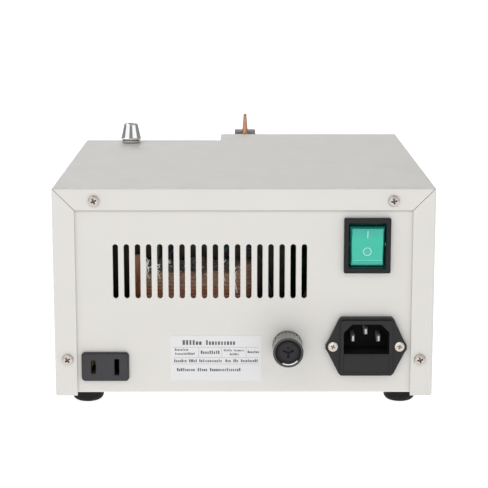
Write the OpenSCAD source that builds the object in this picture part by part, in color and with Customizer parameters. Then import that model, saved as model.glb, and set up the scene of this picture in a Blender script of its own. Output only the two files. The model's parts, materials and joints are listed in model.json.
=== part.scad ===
// Bench spot welder with a stepped sheet-steel case, a fixed lower electrode and a sprung upper arm.
// +Z is up, the controls face -Y and the mains panel faces +Y. The feet stand on Z = 0.
// "h" is a height above the cover's bottom edge and "d" a distance forward of the rear flanges.

/* [Case] */
// Width of the cover
case_w = 206; // [195:1:215]
// Height of the cover, without the feet
case_h = 115; // [112:1:118]
// Depth of the wide control section on the left of the front
main_depth = 230.6; // [225:0.1:236]
// Depth of the set-back section on the right of the front
short_depth = 198.8; // [195:0.1:204]
// Where the step between the two sections stands, from the middle
step_x = 15; // [14:0.5:18]
// Thickness of the sheet steel
sheet_t = 1.2; // [1:0.1:1.5]
// Width of the cover's rear flanges
flange_w = 12; // [10:0.5:14]
// Outer radius of the cover's bends
bend_r = 1.2; // [1:0.1:3]
// Width of the mitre gap between two flanges
mitre_gap = 0.3; // [0.2:0.05:0.5]
// Gap between the rear flanges and the rear panel
rear_gap = 0.35; // [0.1:0.05:0.5]
// How far the front panel stands behind the cover's front edge
front_recess = 1.5; // [1:0.1:2]
// Height of the bottom sheet above the cover's bottom edge
floor_h = 1.2; // [1:0.1:2]
// Height of the upturned side lips of the base
lip_h = 13; // [12:0.5:16]

/* [Feet] */
// Clear height of the cover above the table
foot_gap = 7.5; // [6:0.5:9]
// Radius of a foot
foot_r = 8.7; // [8.5:0.1:10]
// Radius of a foot's rounded lower edge
foot_edge_r = 3.4; // [3:0.1:4.6]
// Distance of the feet from the middle
foot_x = 87; // [84:0.5:88]
// Distance of the feet from the front and rear edges
foot_inset = 20; // [19:0.5:24]

/* [Vents] */
// Number of vent slots in the rear panel
vent_count = 18; // [14:1:18]
// Width of a vent slot
vent_w = 3; // [2.5:0.1:3.5]
// Height of a vent slot
vent_h = 30; // [26:0.5:32]
// Distance from one slot to the next
vent_pitch = 6; // [5.5:0.1:6]
// Middle of the row of slots, from the middle
vent_x = 18.3; // [17:0.1:20]
// Middle height of the slots
vent_z = 69.2; // [68:0.1:71]

/* [Mains switch] */
// Switch position across the panel
switch_x = -66.5; // [-68:0.1:-65]
// Switch height
switch_z = 83.6; // [82:0.1:85]
// Bezel width
bezel_w = 25.2; // [24:0.1:26]
// Bezel height
bezel_h = 30.2; // [30:0.1:32]
// Rocker width
rocker_w = 16.4; // [16:0.1:17]
// Rocker height
rocker_h = 21.6; // [20:0.1:22]
// Slope of each half of the rocker's face
rocker_tilt = 8; // [6:0.5:9]

/* [Mains inlet] */
// Inlet position across the panel
inlet_x = -66.6; // [-68:0.1:-66]
// Inlet height
inlet_z = 27.9; // [27:0.1:28.5]
// Width of the flange across its two ears
inlet_w = 44.2; // [44:0.1:46]
// Height of the flange
inlet_h = 32.6; // [32:0.1:34]
// Distance between the two screws
inlet_screw_gap = 36.2; // [36:0.1:37]

/* [Panel fuse] */
// Fuse holder position across the panel
fuse_x = -23.8; // [-25:0.1:-22]
// Fuse holder height
fuse_z = 28.2; // [27:0.1:29]
// Radius of the fuse holder's head
fuse_head_r = 8.2; // [8:0.1:8.6]
// How far the head stands out from the rear flanges
fuse_out = 15; // [13:0.5:17]

/* [Auxiliary outlet] */
// Outlet position across the panel
outlet_x = 75.6; // [74:0.1:77]
// Outlet height
outlet_z = 16.3; // [16:0.1:18]
// Outlet face width
outlet_w = 25.9; // [25:0.1:27]
// Outlet face height
outlet_h = 16.1; // [16:0.1:17]
// Distance between the two blade slots
blade_gap = 12.7; // [12.7:0.1:12.7]

/* [Rating label] */
// Label position across the panel
label_x = 15.2; // [13:0.1:16]
// Label height above the cover's edge
label_z = 20.7; // [20:0.1:22]
// Label width
label_w = 49.5; // [46:0.1:50]
// Label height
label_h = 25.3; // [24:0.1:26]

/* [Top knob] */
// Knob position from the middle
knob_x = 72.8; // [70:0.1:76]
// Knob position forward of the rear flanges
knob_d = 187; // [180:0.5:188]
// Widest radius of the cone
cone_r = 6.75; // [6.5:0.05:7]
// Radius of the cone's top
cone_top_r = 4.45; // [4.2:0.05:4.8]
// Height of the knob above the cover
knob_h = 12.4; // [12:0.1:13]

/* [Front controls] */
// Middle of the control panel, from the middle of the case
panel_x = -58; // [-60:0.5:-56]
// Radius of the front knobs
dial_r = 11; // [9:0.5:12]
// Length of the front knobs
dial_h = 14; // [12:0.5:15]
// Radius of the weld button's cap
weld_cap_r = 6; // [5:0.5:7]
// Radius of the two small keys
key_r = 4; // [3.5:0.1:4.5]
// Travel of the weld button
weld_travel = 3; // [2:0.1:3]
// Travel of the small keys
key_travel = 1.5; // [1:0.1:1.5]

/* [Output terminals] */
// Radius of a stud
stud_r = 4; // [3.5:0.1:4]
// Free length of a stud beyond its nut
stud_free = 12; // [10:0.5:15]
// Distance between the two studs
stud_gap = 38; // [30:1:42]
// Height of the studs
stud_z = 34; // [30:1:40]

/* [Weld head] */
// Weld head position from the middle
head_x = -1.2; // [-2:0.1:0]
// Distance of the electrodes forward of the rear flanges
tip_d = 247; // [246:0.5:250]
// Distance of the arm's pivot forward of the rear flanges
pivot_d = 176; // [172:1:180]
// Height of the upper arm's middle line
arm_z = 98; // [97:0.5:98]
// Height of the lower arm's middle line
low_arm_z = 36; // [34:0.5:40]
// Width of an arm
arm_w = 10; // [8:0.5:10]
// Height of an arm
arm_h = 12; // [10:0.5:12]
// Radius of an electrode
rod_r = 2; // [1.9:0.05:2.1]
// Height where the two tips meet
tip_z = 64; // [60:0.5:68]
// Top of the upper electrode
rod_top = 127; // [124:0.5:129]
// Width of the clamp plates and the arms' heads
clamp_w = 14; // [13:0.5:15]
// Top of the upper clamp plate
clamp_top = 116; // [114:0.5:117]
// Largest opening angle of the upper arm
arm_open = 6; // [4:0.5:6]

/* [Transformer] */
// Transformer position from the middle
core_x = 28.5; // [25:0.5:29]
// Core width
core_w = 104; // [96:1:106]
// Core height
core_h = 77.5; // [75:0.5:80]
// Stack of laminations, front to rear
core_stack = 50; // [45:1:55]
// Distance of the winding's rear face forward of the rear flanges
coil_d = 40; // [38:1:44]
// Width of the winding
coil_w = 67; // [60:0.5:68]

/* [Hidden] */
$fn = 48;
// Radial clearance of a part that turns or slides in another
run_gap = 0.05;
// Clearance round a fastener in its hole
hole_gap = 0.2;
// Small step past a surface, so that cuts go right through
eps = 0.02;
// Gap between sheet parts that lie side by side
seam = 0.05;

head_plate_t = 4;
clamp_gap = 0.8;
clamp_screw_head = 2.8;
head_front = tip_d + clamp_gap + head_plate_t + clamp_screw_head;
rear_y = (head_front - fuse_out) / 2;
rear_panel_y = rear_y - sheet_t - rear_gap;
inner_w = case_w / 2 - sheet_t - seam;
inner_top = case_h - sheet_t - seam;
main_face = main_depth - front_recess;
short_face = short_depth - front_recess;
step_face = step_x - front_recess;
z0 = foot_gap;
floor_top = floor_h + sheet_t;

screw_r = 1.5;
screw_head_r = 3.1;
screw_head_h = 2;
top_screw_x = 80.3;
top_screw_z = 108;
side_screw_x = 96;
side_screw_z = 20.4;
cover_side_d = 172;
cover_side_z = 9;

switch_body_w = 22;
switch_body_h = 27.6;
switch_mouth_w = 20.2;
switch_mouth_h = 24.8;
switch_bezel_t = 2.5;
switch_pivot_z = -3.2;
switch_depth = 24;
rocker_pin_r = 1.5;
rocker_skirt_w = 19.2;

inlet_flange_t = 3;
inlet_face = 4.5;
inlet_block_w = 28.2;
inlet_block_h = 29.6;
inlet_mouth_w = 24.8;
inlet_mouth_h = 16.6;
inlet_mouth_z = 4.5;
inlet_mouth_depth = 17;
inlet_body_depth = 27;
drawer_gap = 0.12;
drawer_w = 24.6;
drawer_h = 9;
drawer_z = -9.3;
drawer_len = 26;
blade_tip = 5.4;
glass_r = 2.6;
glass_len = 20;

fuse_neck_r = 6.2;
fuse_bore_r = 4.6;
fuse_cap_r = 5.5;
fuse_cap_t = 2.5;
fuse_neck_len = 30;
fuse_face = fuse_out + sheet_t + rear_gap;

outlet_body_w = 22.4;
outlet_body_h = 13.4;
outlet_face = 2.5;
outlet_depth = 18;
outlet_tail = 5;

shaft_r = 3;
pot_r = 8;
pot_h = 9;
bush_r = 3.5;
bush_out = 2.2;
nut_t = 1.8;
nut_r = 5.2;

dial_gap_x = 36;
dial_z = 58;
display_z = 88;
display_w = 46;
display_h = 18;
key_z = 26;
weld_x = 0;
key_x = 22;
led_z = 74;
board_gap = 19;
board_w = 80;
board_h = 92;
board_t = 1.6;
board_z = 58;
standoff_r = 3;

jack_r = 3.25;
jack_z = 78;
terminal_x = 58;

head_back = tip_d - clamp_gap;
slot_low = arm_h / 2 + 1.5;
slot_high = arm_h / 2 + (main_face - pivot_d) * sin(arm_open) + 1;
head_len = 12;
upper_head_low = 86;
upper_head_top = 111;
lower_head_low = 27;
lower_head_top = 50;
rod_low = 21;
rod_taper = 13.5;
arm_tail = 30;
pivot_r = 4;
bush_wall = 1;
frame_inner = 16;
frame_t = 3;
spring_r = 5;
spring_wire = 0.7;
spring_d = pivot_d - 23;
spring_seat = 70;
plate_w = 28;
plate_low = 20;
plate_high = 111;

coil_reach = 15;
core_d = coil_d + coil_reach;
leg_w = 32;
yoke = 15;
core_low = floor_top + 1.2;
coil_low = core_low + yoke + 1.5;
coil_high = core_low + core_h - yoke - 1.5;
coil_front = core_d + core_stack + coil_reach;
upper_arm_back = pivot_d - arm_tail;
lower_arm_back = upper_arm_back + 10;
link_low = 48;

// Y of a plane that lies d forward of the rear flanges
function yd(d) = rear_y - d;

// Local axes as seen by someone facing the panel: x right, y up, z out of the panel
module at_rear(x, h) {
    translate([x, rear_panel_y, z0 + h]) rotate([90, 0, 180]) children();
}

module at_main(x, h) {
    translate([x, yd(main_face), z0 + h]) rotate([90, 0, 0]) children();
}

module at_short(x, h) {
    translate([x, yd(short_face), z0 + h]) rotate([90, 0, 0]) children();
}

module at_top(x, d) {
    translate([x, yd(d), z0 + case_h]) children();
}

// Box from one corner to the other
module span(low, high) {
    translate(low) cube(high - low);
}

// Rectangle with rounded corners, about its middle
module round_rect(w, h, r) {
    square([w - 2 * r, h], center = true);
    square([w, h - 2 * r], center = true);
    for (sx = [-1, 1], sy = [-1, 1]) {
        translate([sx * (w / 2 - r), sy * (h / 2 - r)]) circle(r);
    }
}

module rod(r, low, high) {
    translate([0, 0, low]) cylinder(r = r, h = high - low);
}

module plate(w, h, low, high) {
    translate([-w / 2, -h / 2, low]) cube([w, h, high - low]);
}

module hex(r, low, high) {
    translate([0, 0, low]) cylinder(r = r, h = high - low, $fn = 6);
}

// Cross recess of a pan head, cut down from z = 0
module cross_recess(size, depth) {
    plate(size, size / 4, -depth, eps);
    plate(size / 4, size, -depth, eps);
}

// Pan-head screw that rests on z = 0, its shank pointing down
module pan_screw(r, length, head_r, head_h) {
    difference() {
        rod(head_r, 0, head_h - 0.6);
        translate([0, 0, head_h - 0.6 + eps]) cross_recess(head_r * 1.1, head_h * 0.5);
    }
    difference() {
        translate([0, 0, head_h - 0.6]) cylinder(r1 = head_r, r2 = head_r * 0.72, h = 0.6);
        translate([0, 0, head_h]) cross_recess(head_r * 1.1, head_h * 0.6);
    }
    rod(r, -length, 0);
}

// Places of the four screws in the rear flanges
module at_cover_screws() {
    for (side = [-1, 1]) {
        translate([side * top_screw_x, rear_y, z0 + top_screw_z]) rotate([-90, 0, 0]) children();
        translate([side * side_screw_x, rear_y, z0 + side_screw_z]) rotate([-90, 0, 0]) children();
    }
}

// Places of the screws low in the cover's sides
module at_side_screws() {
    for (side = [-1, 1]) {
        translate([side * case_w / 2, yd(cover_side_d), z0 + cover_side_z])
            rotate([0, side * 90, 0]) children();
    }
}

module at_feet() {
    for (side = [-1, 1]) {
        front_edge = side < 0 ? main_depth : short_depth;
        translate([side * foot_x, yd(foot_inset), z0]) children();
        translate([side * foot_x, yd(front_edge - foot_inset), z0]) children();
    }
}

// ---- case ----

// Block with the cover's three families of bends, shrunk by "inset" all round but the bottom
module cover_block(inset, r) {
    w = case_w - 2 * inset;
    far = main_depth + 40;
    intersection() {
        translate([0, rear_y, z0 + case_h - inset - case_h / 2]) rotate([90, 0, 0])
            linear_extrude(far) round_rect(w, case_h, r);
        translate([0, rear_y - inset - far / 2, z0 - 20])
            linear_extrude(case_h + 40) round_rect(w, far, r);
        translate([-case_w, rear_y - inset - far / 2, z0 + case_h - inset - case_h])
            rotate([90, 0, 90]) linear_extrude(2 * case_w) round_rect(far, 2 * case_h, r);
    }
}

module top_cover() {
    color([0.87, 0.86, 0.83])
    difference() {
        cover_block(0, bend_r);
        span([-case_w / 2 + sheet_t, yd(main_depth + 60), z0 - 30],
             [case_w / 2 - sheet_t, yd(sheet_t), z0 + case_h - sheet_t]);
        span([-case_w / 2 + flange_w, yd(sheet_t + 1), z0 - 30],
             [case_w / 2 - flange_w, yd(-1), z0 + case_h - flange_w]);
        span([-case_w, yd(main_depth + 60), z0 - 30], [case_w, yd(-30), z0]);
        span([-case_w, yd(main_depth + 60), z0 - 30], [case_w, yd(main_depth), z0 + case_h + 30]);
        span([step_x, yd(main_depth + 60), z0 - 30], [case_w, yd(short_depth), z0 + case_h + 30]);
        for (side = [-1, 1]) {
            translate([side * (case_w / 2 - flange_w), yd(sheet_t / 2), z0 + case_h - flange_w])
                rotate([0, side * 45, 0])
                translate([-mitre_gap / 2, -sheet_t, -0.1])
                cube([mitre_gap, sheet_t * 2, flange_w * 1.35]);
        }
        at_cover_screws() rod(screw_r + hole_gap, -4, 1);
        at_side_screws() rod(screw_r + hole_gap, -4, 1);
        at_top(knob_x, knob_d) rod(bush_r + 0.1, -3, 1);
        translate([step_x + 1.6, yd(short_depth), z0 + case_h - 2]) cylinder(r = 1.4, h = 4);
    }
}

module rear_panel_cuts() {
    for (i = [0 : vent_count - 1]) {
        x = vent_x + (i - (vent_count - 1) / 2) * vent_pitch;
        at_rear(x, vent_z) translate([0, 0, -3]) linear_extrude(4) {
            square([vent_w, vent_h - vent_w], center = true);
            for (end = [-1, 1]) translate([0, end * (vent_h - vent_w) / 2]) circle(vent_w / 2);
        }
    }
    at_rear(switch_x, switch_z) plate(switch_body_w + 0.4, switch_body_h + 0.4, -3, 1);
    at_rear(inlet_x, inlet_z) plate(inlet_block_w - 0.6, inlet_block_h - 0.6, -3, 1);
    at_rear(inlet_x, inlet_z) for (side = [-1, 1]) {
        translate([side * inlet_screw_gap / 2, 0, 0]) rod(screw_r + hole_gap, -3, 1);
    }
    at_rear(outlet_x, outlet_z) plate(outlet_body_w + 0.4, outlet_body_h + 0.4, -3, 1);
    at_rear(fuse_x, fuse_z) rod(fuse_neck_r + hole_gap, -3, 1);
    at_cover_screws() rod(screw_r + run_gap, -6, 0);
}

// What the bend between the base and its rear panel takes off the lower edge
module rear_bend() {
    r = 1.5;
    translate([0, rear_panel_y - r, z0 + floor_h + r]) rotate([0, 90, 0]) difference() {
        translate([0, 0, -case_w]) cube([r + 1, r + 1, 2 * case_w]);
        translate([0, 0, -case_w - 1]) cylinder(r = r, h = 2 * case_w + 2);
    }
}

module base_chassis() {
    lip_in = inner_w - sheet_t;
    color([0.87, 0.86, 0.83])
    difference() {
        union() {
            span([-inner_w, rear_panel_y - sheet_t, z0 + floor_h],
                 [inner_w, rear_panel_y, z0 + inner_top]);
            span([-inner_w, yd(main_face), z0 + floor_h], [step_face, rear_panel_y, z0 + floor_top]);
            span([-inner_w, yd(short_face), z0 + floor_h], [inner_w, rear_panel_y, z0 + floor_top]);
            span([-inner_w, yd(main_face - 12), z0 + floor_h], [-lip_in, yd(10), z0 + floor_h + lip_h]);
            span([lip_in, yd(short_face - 12), z0 + floor_h], [inner_w, yd(10), z0 + floor_h + lip_h]);
        }
        rear_panel_cuts();
        rear_bend();
        at_side_screws() rod(screw_r + run_gap, -6, 0);
        at_feet() rod(screw_r + 0.5 + hole_gap, -2, 8);
    }
}

// Outline of the stepped front panel, seen from above, "t" behind its outer face
module front_outline(t) {
    polygon([[-inner_w, yd(main_face) + t], [step_face - t, yd(main_face) + t],
             [step_face - t, yd(short_face) + t], [inner_w, yd(short_face) + t],
             [inner_w, yd(60)], [-inner_w, yd(60)]]);
}

module front_panel() {
    color([0.87, 0.86, 0.83])
    difference() {
        union() {
            translate([0, 0, z0 + floor_top]) linear_extrude(inner_top - floor_top) difference() {
                front_outline(0);
                front_outline(sheet_t);
                translate([-inner_w - 1, yd(150)]) square([2 * inner_w + 2, 200]);
                translate([-inner_w - 1, yd(short_face - sheet_t - 0.01)])
                    square([inner_w + 1 + step_face - 20, 60]);
            }
            span([-inner_w + 8, yd(main_face - sheet_t), z0 + floor_top],
                 [-plate_w / 2 - 6, yd(main_face - 14), z0 + floor_top + sheet_t]);
            span([step_x + 10, yd(short_face - sheet_t), z0 + floor_top],
                 [inner_w - 26, yd(short_face - 14), z0 + floor_top + sheet_t]);
        }
        at_main(panel_x, display_z) plate(display_w + 0.4, display_h + 0.4, -3, 1);
        for (side = [-1, 1]) {
            at_main(panel_x + side * dial_gap_x / 2, dial_z) rod(bush_r + 0.1, -3, 1);
            at_main(panel_x + side * key_x, key_z) rod(key_r + 0.3, -3, 1);
            at_main(panel_x + side * 12, led_z) rod(1.5 + hole_gap, -3, 1);
        }
        at_main(panel_x, key_z) rod(weld_cap_r + 0.3, -3, 1);
        at_main(head_x, arm_z) span([-8, -slot_low - 1, -3], [8, slot_high + 1, 1]);
        at_main(head_x, low_arm_z) plate(16, 16, -3, 1);
        for (side = [-1, 1]) {
            at_short(terminal_x + side * stud_gap / 2, stud_z) rod(6.2, -3, 1);
        }
        at_short(terminal_x, jack_z) rod(5.1, -3, 1);
    }
}

module rating_label() {
    color([0.9, 0.9, 0.93])
    at_rear(label_x, label_z) plate(label_w, label_h, 0, 0.15);
}

module cover_screws() {
    color([0.75, 0.73, 0.7]) {
        at_cover_screws() pan_screw(screw_r, 8, screw_head_r, screw_head_h);
        at_side_screws() pan_screw(screw_r, 8, screw_head_r, screw_head_h);
    }
}

module rubber_feet() {
    flat_r = foot_r - foot_edge_r;
    color([0.08, 0.08, 0.08])
    at_feet() difference() {
        rotate_extrude() {
            translate([0, -foot_gap]) square([flat_r, foot_gap + floor_h]);
            translate([0, foot_edge_r - foot_gap]) square([foot_r, foot_gap + floor_h - foot_edge_r]);
            intersection() {
                translate([flat_r, foot_edge_r - foot_gap]) circle(foot_edge_r);
                translate([0, -foot_gap]) square([foot_r, foot_gap]);
            }
        }
        rod(2.2, -foot_gap - 1, floor_h + 1);
        rod(3.9, -foot_gap - 1, -2.6);
    }
}

module foot_screws() {
    color([0.7, 0.7, 0.7])
    at_feet() {
        translate([0, 0, -2.6]) rotate([180, 0, 0]) pan_screw(2, 12, 3.6, 2.4);
        difference() {
            hex(4, floor_top, floor_top + 3.2);
            rod(2 + run_gap, floor_top - 1, floor_top + 4);
        }
    }
}

// ---- rear panel parts ----

module switch_housing() {
    color([0.1, 0.1, 0.11])
    at_rear(switch_x, switch_z) difference() {
        union() {
            linear_extrude(switch_bezel_t) round_rect(bezel_w, bezel_h, 0.8);
            plate(switch_body_w, switch_body_h, -switch_depth, 0);
        }
        plate(switch_mouth_w, switch_mouth_h, switch_pivot_z - 9, switch_bezel_t + 1);
        translate([-bezel_w, 0, switch_pivot_z]) rotate([0, 90, 0])
            cylinder(r = rocker_pin_r + run_gap, h = 2 * bezel_w);
        for (i = [-1, 0, 1]) translate([0, i * 8, 0]) plate(6.3, 0.8, -switch_depth - 1, -switch_depth + 5);
    }
}

// The rocker's side view: two sloping halves that meet above the pivot, and a bevelled lower edge
module rocker_outline() {
    half = rocker_h / 2;
    crown = 5;
    rise = half * tan(rocker_tilt);
    polygon([[-half, crown - 0.8], [-half + 2.8, crown + rise - 0.6], [0, crown],
             [half, crown + rise], [half, crown - 3], [7, -4], [-7, -4], [-half, crown - 4]]);
}

// The rocker's view from above: its face stands on a wider skirt
module rocker_flanks() {
    face = rocker_w / 2;
    skirt = rocker_skirt_w / 2;
    polygon([[-skirt, -5], [skirt, -5], [skirt, 2.2], [face, 5.6], [face, 9],
             [-face, 9], [-face, 5.6], [-skirt, 2.2]]);
}

module switch_rocker() {
    color([0.05, 0.62, 0.45])
    at_rear(switch_x, switch_z) translate([0, 0, switch_pivot_z]) rotate([rocker_tilt, 0, 0]) {
        intersection() {
            rotate([0, 90, 0]) rotate([0, 0, 90])
                translate([0, 0, -rocker_skirt_w / 2]) linear_extrude(rocker_skirt_w) rocker_outline();
            rotate([90, 0, 0]) translate([0, 0, -rocker_h]) linear_extrude(2 * rocker_h) rocker_flanks();
        }
        rotate([0, 90, 0]) translate([0, 0, -10.8]) cylinder(r = rocker_pin_r, h = 21.6);
    }
}

module switch_tabs() {
    color([0.8, 0.75, 0.6])
    at_rear(switch_x, switch_z) for (i = [-1, 0, 1]) {
        translate([0, i * 8, 0]) plate(6.3, 0.8, -switch_depth - 8, -switch_depth + 5);
    }
}

// The inlet's six-sided flange
module inlet_flange() {
    w = inlet_w / 2;
    h = inlet_h / 2;
    half = [[13.6, h], [14.9, h - 1.1], [w - 1.2, 2.4], [w, 0.6], [w, -1.4], [w - 1.2, -3.2],
            [14.9, 1.1 - h], [13.6, -h]];
    polygon(concat(half, [for (i = [len(half) - 1 : -1 : 0]) [-half[i][0], half[i][1]]]));
}

// The mouth of the inlet, with the two upper corners cut off
module inlet_mouth() {
    w = inlet_mouth_w / 2;
    h = inlet_mouth_h / 2;
    cut = 4.6;
    polygon([[-w, -h], [w, -h], [w, h - cut], [w - cut, h], [cut - w, h], [-w, h - cut]]);
}

// Places of the three blades: [x, height]
inlet_blade_places = [[-7, 3.6], [7, 3.6], [0, 7.6]];

module inlet_blade_bars(grow) {
    for (blade = inlet_blade_places) {
        translate([blade[0], blade[1], 0])
            plate(2 + grow, 4 + grow, -inlet_body_depth - 8, inlet_face - blade_tip - 1.2);
    }
}

// Finger notch, reached from inside the mouth, that pulls the drawer out
module drawer_grip() {
    translate([-4, drawer_z + drawer_h / 2 - 0.8, inlet_face - 6]) cube([8, 3, 3]);
}

module inlet_body() {
    color([0.09, 0.09, 0.1])
    at_rear(inlet_x, inlet_z) difference() {
        union() {
            linear_extrude(inlet_flange_t) inlet_flange();
            linear_extrude(inlet_face) round_rect(inlet_block_w, inlet_block_h, 1.5);
            plate(inlet_block_w - 1, inlet_block_h - 1, -inlet_body_depth, 0);
        }
        translate([0, inlet_mouth_z, inlet_face - inlet_mouth_depth])
            linear_extrude(inlet_mouth_depth + 1) inlet_mouth();
        translate([0, drawer_z, 0])
            plate(drawer_w + 2 * drawer_gap, drawer_h + 2 * drawer_gap,
                  inlet_face - drawer_len - 0.5, inlet_face + 1);
        drawer_grip();
        inlet_blade_bars(eps);
        for (side = [-1, 1]) translate([side * inlet_screw_gap / 2, 0, 0]) {
            rod(screw_r + hole_gap, -1, inlet_flange_t + 1);
            translate([0, 0, inlet_flange_t - 1.3]) cylinder(r1 = 1.7, r2 = 2.75, h = 1.3 + eps);
        }
    }
}

// A blade's end, drawn in on all four sides
module blade_end() {
    intersection() {
        translate([0, 2, 0]) rotate([90, 0, 0])
            linear_extrude(4) polygon([[-1, 0], [1, 0], [0.5, 1.2], [-0.5, 1.2]]);
        translate([-1, 0, 0]) rotate([90, 0, 90])
            linear_extrude(2) polygon([[-2, 0], [2, 0], [1.35, 1.2], [-1.35, 1.2]]);
    }
}

module inlet_blades() {
    color([0.8, 0.79, 0.76])
    at_rear(inlet_x, inlet_z) {
        inlet_blade_bars(0);
        for (blade = inlet_blade_places) translate([blade[0], blade[1], inlet_face - blade_tip - 1.2])
            blade_end();
    }
}

module inlet_screws() {
    color([0.75, 0.74, 0.72])
    at_rear(inlet_x, inlet_z) for (side = [-1, 1]) translate([side * inlet_screw_gap / 2, 0, 0]) {
        difference() {
            translate([0, 0, inlet_flange_t - 1.2]) cylinder(r1 = screw_r, r2 = 2.6, h = 1.2);
            translate([0, 0, inlet_flange_t]) cross_recess(2.9, 0.8);
        }
        rod(screw_r, -8, inlet_flange_t - 1.2);
        difference() {
            hex(3.2, -sheet_t - 2.4, -sheet_t);
            rod(screw_r, -sheet_t - 3, 0);
        }
    }
}

module inlet_fuse_drawer() {
    color([0.09, 0.09, 0.1])
    at_rear(inlet_x, inlet_z) difference() {
        translate([0, drawer_z, 0]) plate(drawer_w, drawer_h, inlet_face - drawer_len, inlet_face);
        translate([-glass_r - 0.1, drawer_z - glass_r - 0.1, inlet_face - drawer_len + 2])
            cube([2 * glass_r + 0.2, drawer_h, glass_len + 0.2]);
        drawer_grip();
    }
}

// Glass cartridge fuse along z with its lower end at z = 0
module cartridge() {
    rod(glass_r, 0, 5);
    rod(glass_r - 0.2, 5, glass_len - 5);
    rod(glass_r, glass_len - 5, glass_len);
}

module inlet_fuse() {
    color([0.8, 0.85, 0.85])
    at_rear(inlet_x, inlet_z) translate([0, drawer_z, inlet_face - drawer_len + 2.1]) cartridge();
}

// Blade slots of the outlet: [x, height]
outlet_slots = [[-blade_gap / 2, 7.4], [blade_gap / 2, 9]];

module outlet_body() {
    color([0.28, 0.28, 0.3])
    at_rear(outlet_x, outlet_z) difference() {
        union() {
            linear_extrude(outlet_face - 0.8) round_rect(outlet_w, outlet_h, 2);
            translate([0, 0, outlet_face - 0.8])
                linear_extrude(0.8) round_rect(outlet_w - 1.4, outlet_h - 1.4, 1.6);
            plate(outlet_body_w, outlet_body_h, -outlet_depth, 0);
        }
        for (slot = outlet_slots) translate([slot[0], 0, 0]) {
            plate(2.6, slot[1], -3, outlet_face + 1);
            plate(5.4, 9.4, -outlet_depth + 1.5, -2.9);
            plate(2.84, 0.84, -outlet_depth - 1, -outlet_depth + 2);
        }
    }
}

module outlet_contacts() {
    color([0.8, 0.68, 0.35])
    at_rear(outlet_x, outlet_z) for (slot = outlet_slots) translate([slot[0], 0, 0]) {
        for (side = [-1, 1]) translate([side * 1.6, 0, 0]) plate(0.6, 7, -outlet_depth + 2, -8);
        plate(3.8, 7, -outlet_depth + 1.52, -outlet_depth + 2.02);
        plate(2.8, 0.8, -outlet_depth - outlet_tail, -outlet_depth + 1.6);
    }
}

module fuse_holder_body() {
    ribs = 24;
    color([0.12, 0.12, 0.12])
    at_rear(fuse_x, fuse_z) difference() {
        union() {
            rod(fuse_head_r, 0, 2);
            rod(fuse_head_r - 0.35, 2, fuse_face - 3.2);
            for (i = [0 : ribs - 1]) rotate([0, 0, i * 360 / ribs])
                translate([fuse_head_r - 0.7, -0.45, 2]) cube([0.6, 0.9, fuse_face - 5.2]);
            rod(fuse_head_r, fuse_face - 3.2, fuse_face);
            rod(fuse_neck_r, -fuse_neck_len, 0);
        }
        rod(fuse_bore_r, -10, fuse_face + 1);
        rod(fuse_cap_r + run_gap, fuse_face - fuse_cap_t - 0.1, fuse_face + 1);
    }
}

module fuse_holder_nut() {
    color([0.15, 0.15, 0.15])
    at_rear(fuse_x, fuse_z) difference() {
        hex(10, -sheet_t - 4, -sheet_t);
        rod(fuse_neck_r + run_gap, -10, 1);
    }
}

module fuse_carrier() {
    top = fuse_face - fuse_cap_t - 0.1;
    color([0.16, 0.16, 0.16])
    at_rear(fuse_x, fuse_z) difference() {
        rod(fuse_bore_r - 0.3, top - 17, top);
        rod(glass_r + 0.05, top - 18, top - 2);
    }
}

module fuse_cap() {
    color([0.08, 0.08, 0.08])
    at_rear(fuse_x, fuse_z) difference() {
        rod(fuse_cap_r, fuse_face - fuse_cap_t, fuse_face);
        translate([0, 0, fuse_face]) cross_recess(6, 1.2);
    }
}

module panel_fuse() {
    top = fuse_face - fuse_cap_t - 2.2;
    color([0.8, 0.85, 0.85])
    at_rear(fuse_x, fuse_z) translate([0, 0, top - glass_len]) cartridge();
}

// ---- rotary controls: one potentiometer shape for the three of them ----

module pot_body() {
    difference() {
        union() {
            rod(pot_r, -sheet_t - pot_h, -sheet_t);
            rod(bush_r, -sheet_t - 0.5, bush_out);
            for (i = [-1, 0, 1]) translate([i * 5, -pot_r - 1, 0])
                plate(1.6, 5, -sheet_t - 6, -sheet_t - 5.2);
        }
        rod(shaft_r + run_gap, -sheet_t - pot_h + 1.5, bush_out + 1);
    }
}

module pot_nut() {
    difference() {
        hex(nut_r, 0, nut_t);
        rod(bush_r + run_gap, -1, nut_t + 1);
    }
}

module pot_shaft(top) {
    rod(shaft_r, -sheet_t - pot_h + 1.6, top);
}

module at_pots() {
    at_top(knob_x, knob_d) rotate([0, 0, 180]) children();
    for (side = [-1, 1]) at_main(panel_x + side * dial_gap_x / 2, dial_z) children();
}

module pot_bodies() {
    color([0.55, 0.55, 0.57])
    at_pots() pot_body();
}

module pot_nuts() {
    color([0.75, 0.75, 0.75])
    at_pots() translate([0, 0, 0.32]) pot_nut();
}

module chrome_knob() {
    collar_r = cone_r - 0.55;
    collar_top = 3;
    color([0.85, 0.85, 0.86])
    at_top(knob_x, knob_d) difference() {
        union() {
            rod(collar_r, 0.3, collar_top);
            rod(collar_r - 0.5, collar_top, collar_top + 0.5);
            translate([0, 0, collar_top + 0.5]) cylinder(r1 = cone_r - 0.3, r2 = cone_r, h = 0.4);
            translate([0, 0, collar_top + 0.9])
                cylinder(r1 = cone_r, r2 = cone_top_r, h = knob_h - collar_top - 1.4);
            translate([0, 0, knob_h - 0.5]) cylinder(r1 = cone_top_r, r2 = cone_top_r - 0.5, h = 0.5);
        }
        rod(nut_r + 0.15, 0, 2.4);
        rod(shaft_r + 0.01, 0, knob_h - 1.5);
    }
}

module top_pot_shaft() {
    color([0.7, 0.7, 0.7])
    at_top(knob_x, knob_d) pot_shaft(knob_h - 1.6);
}

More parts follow.
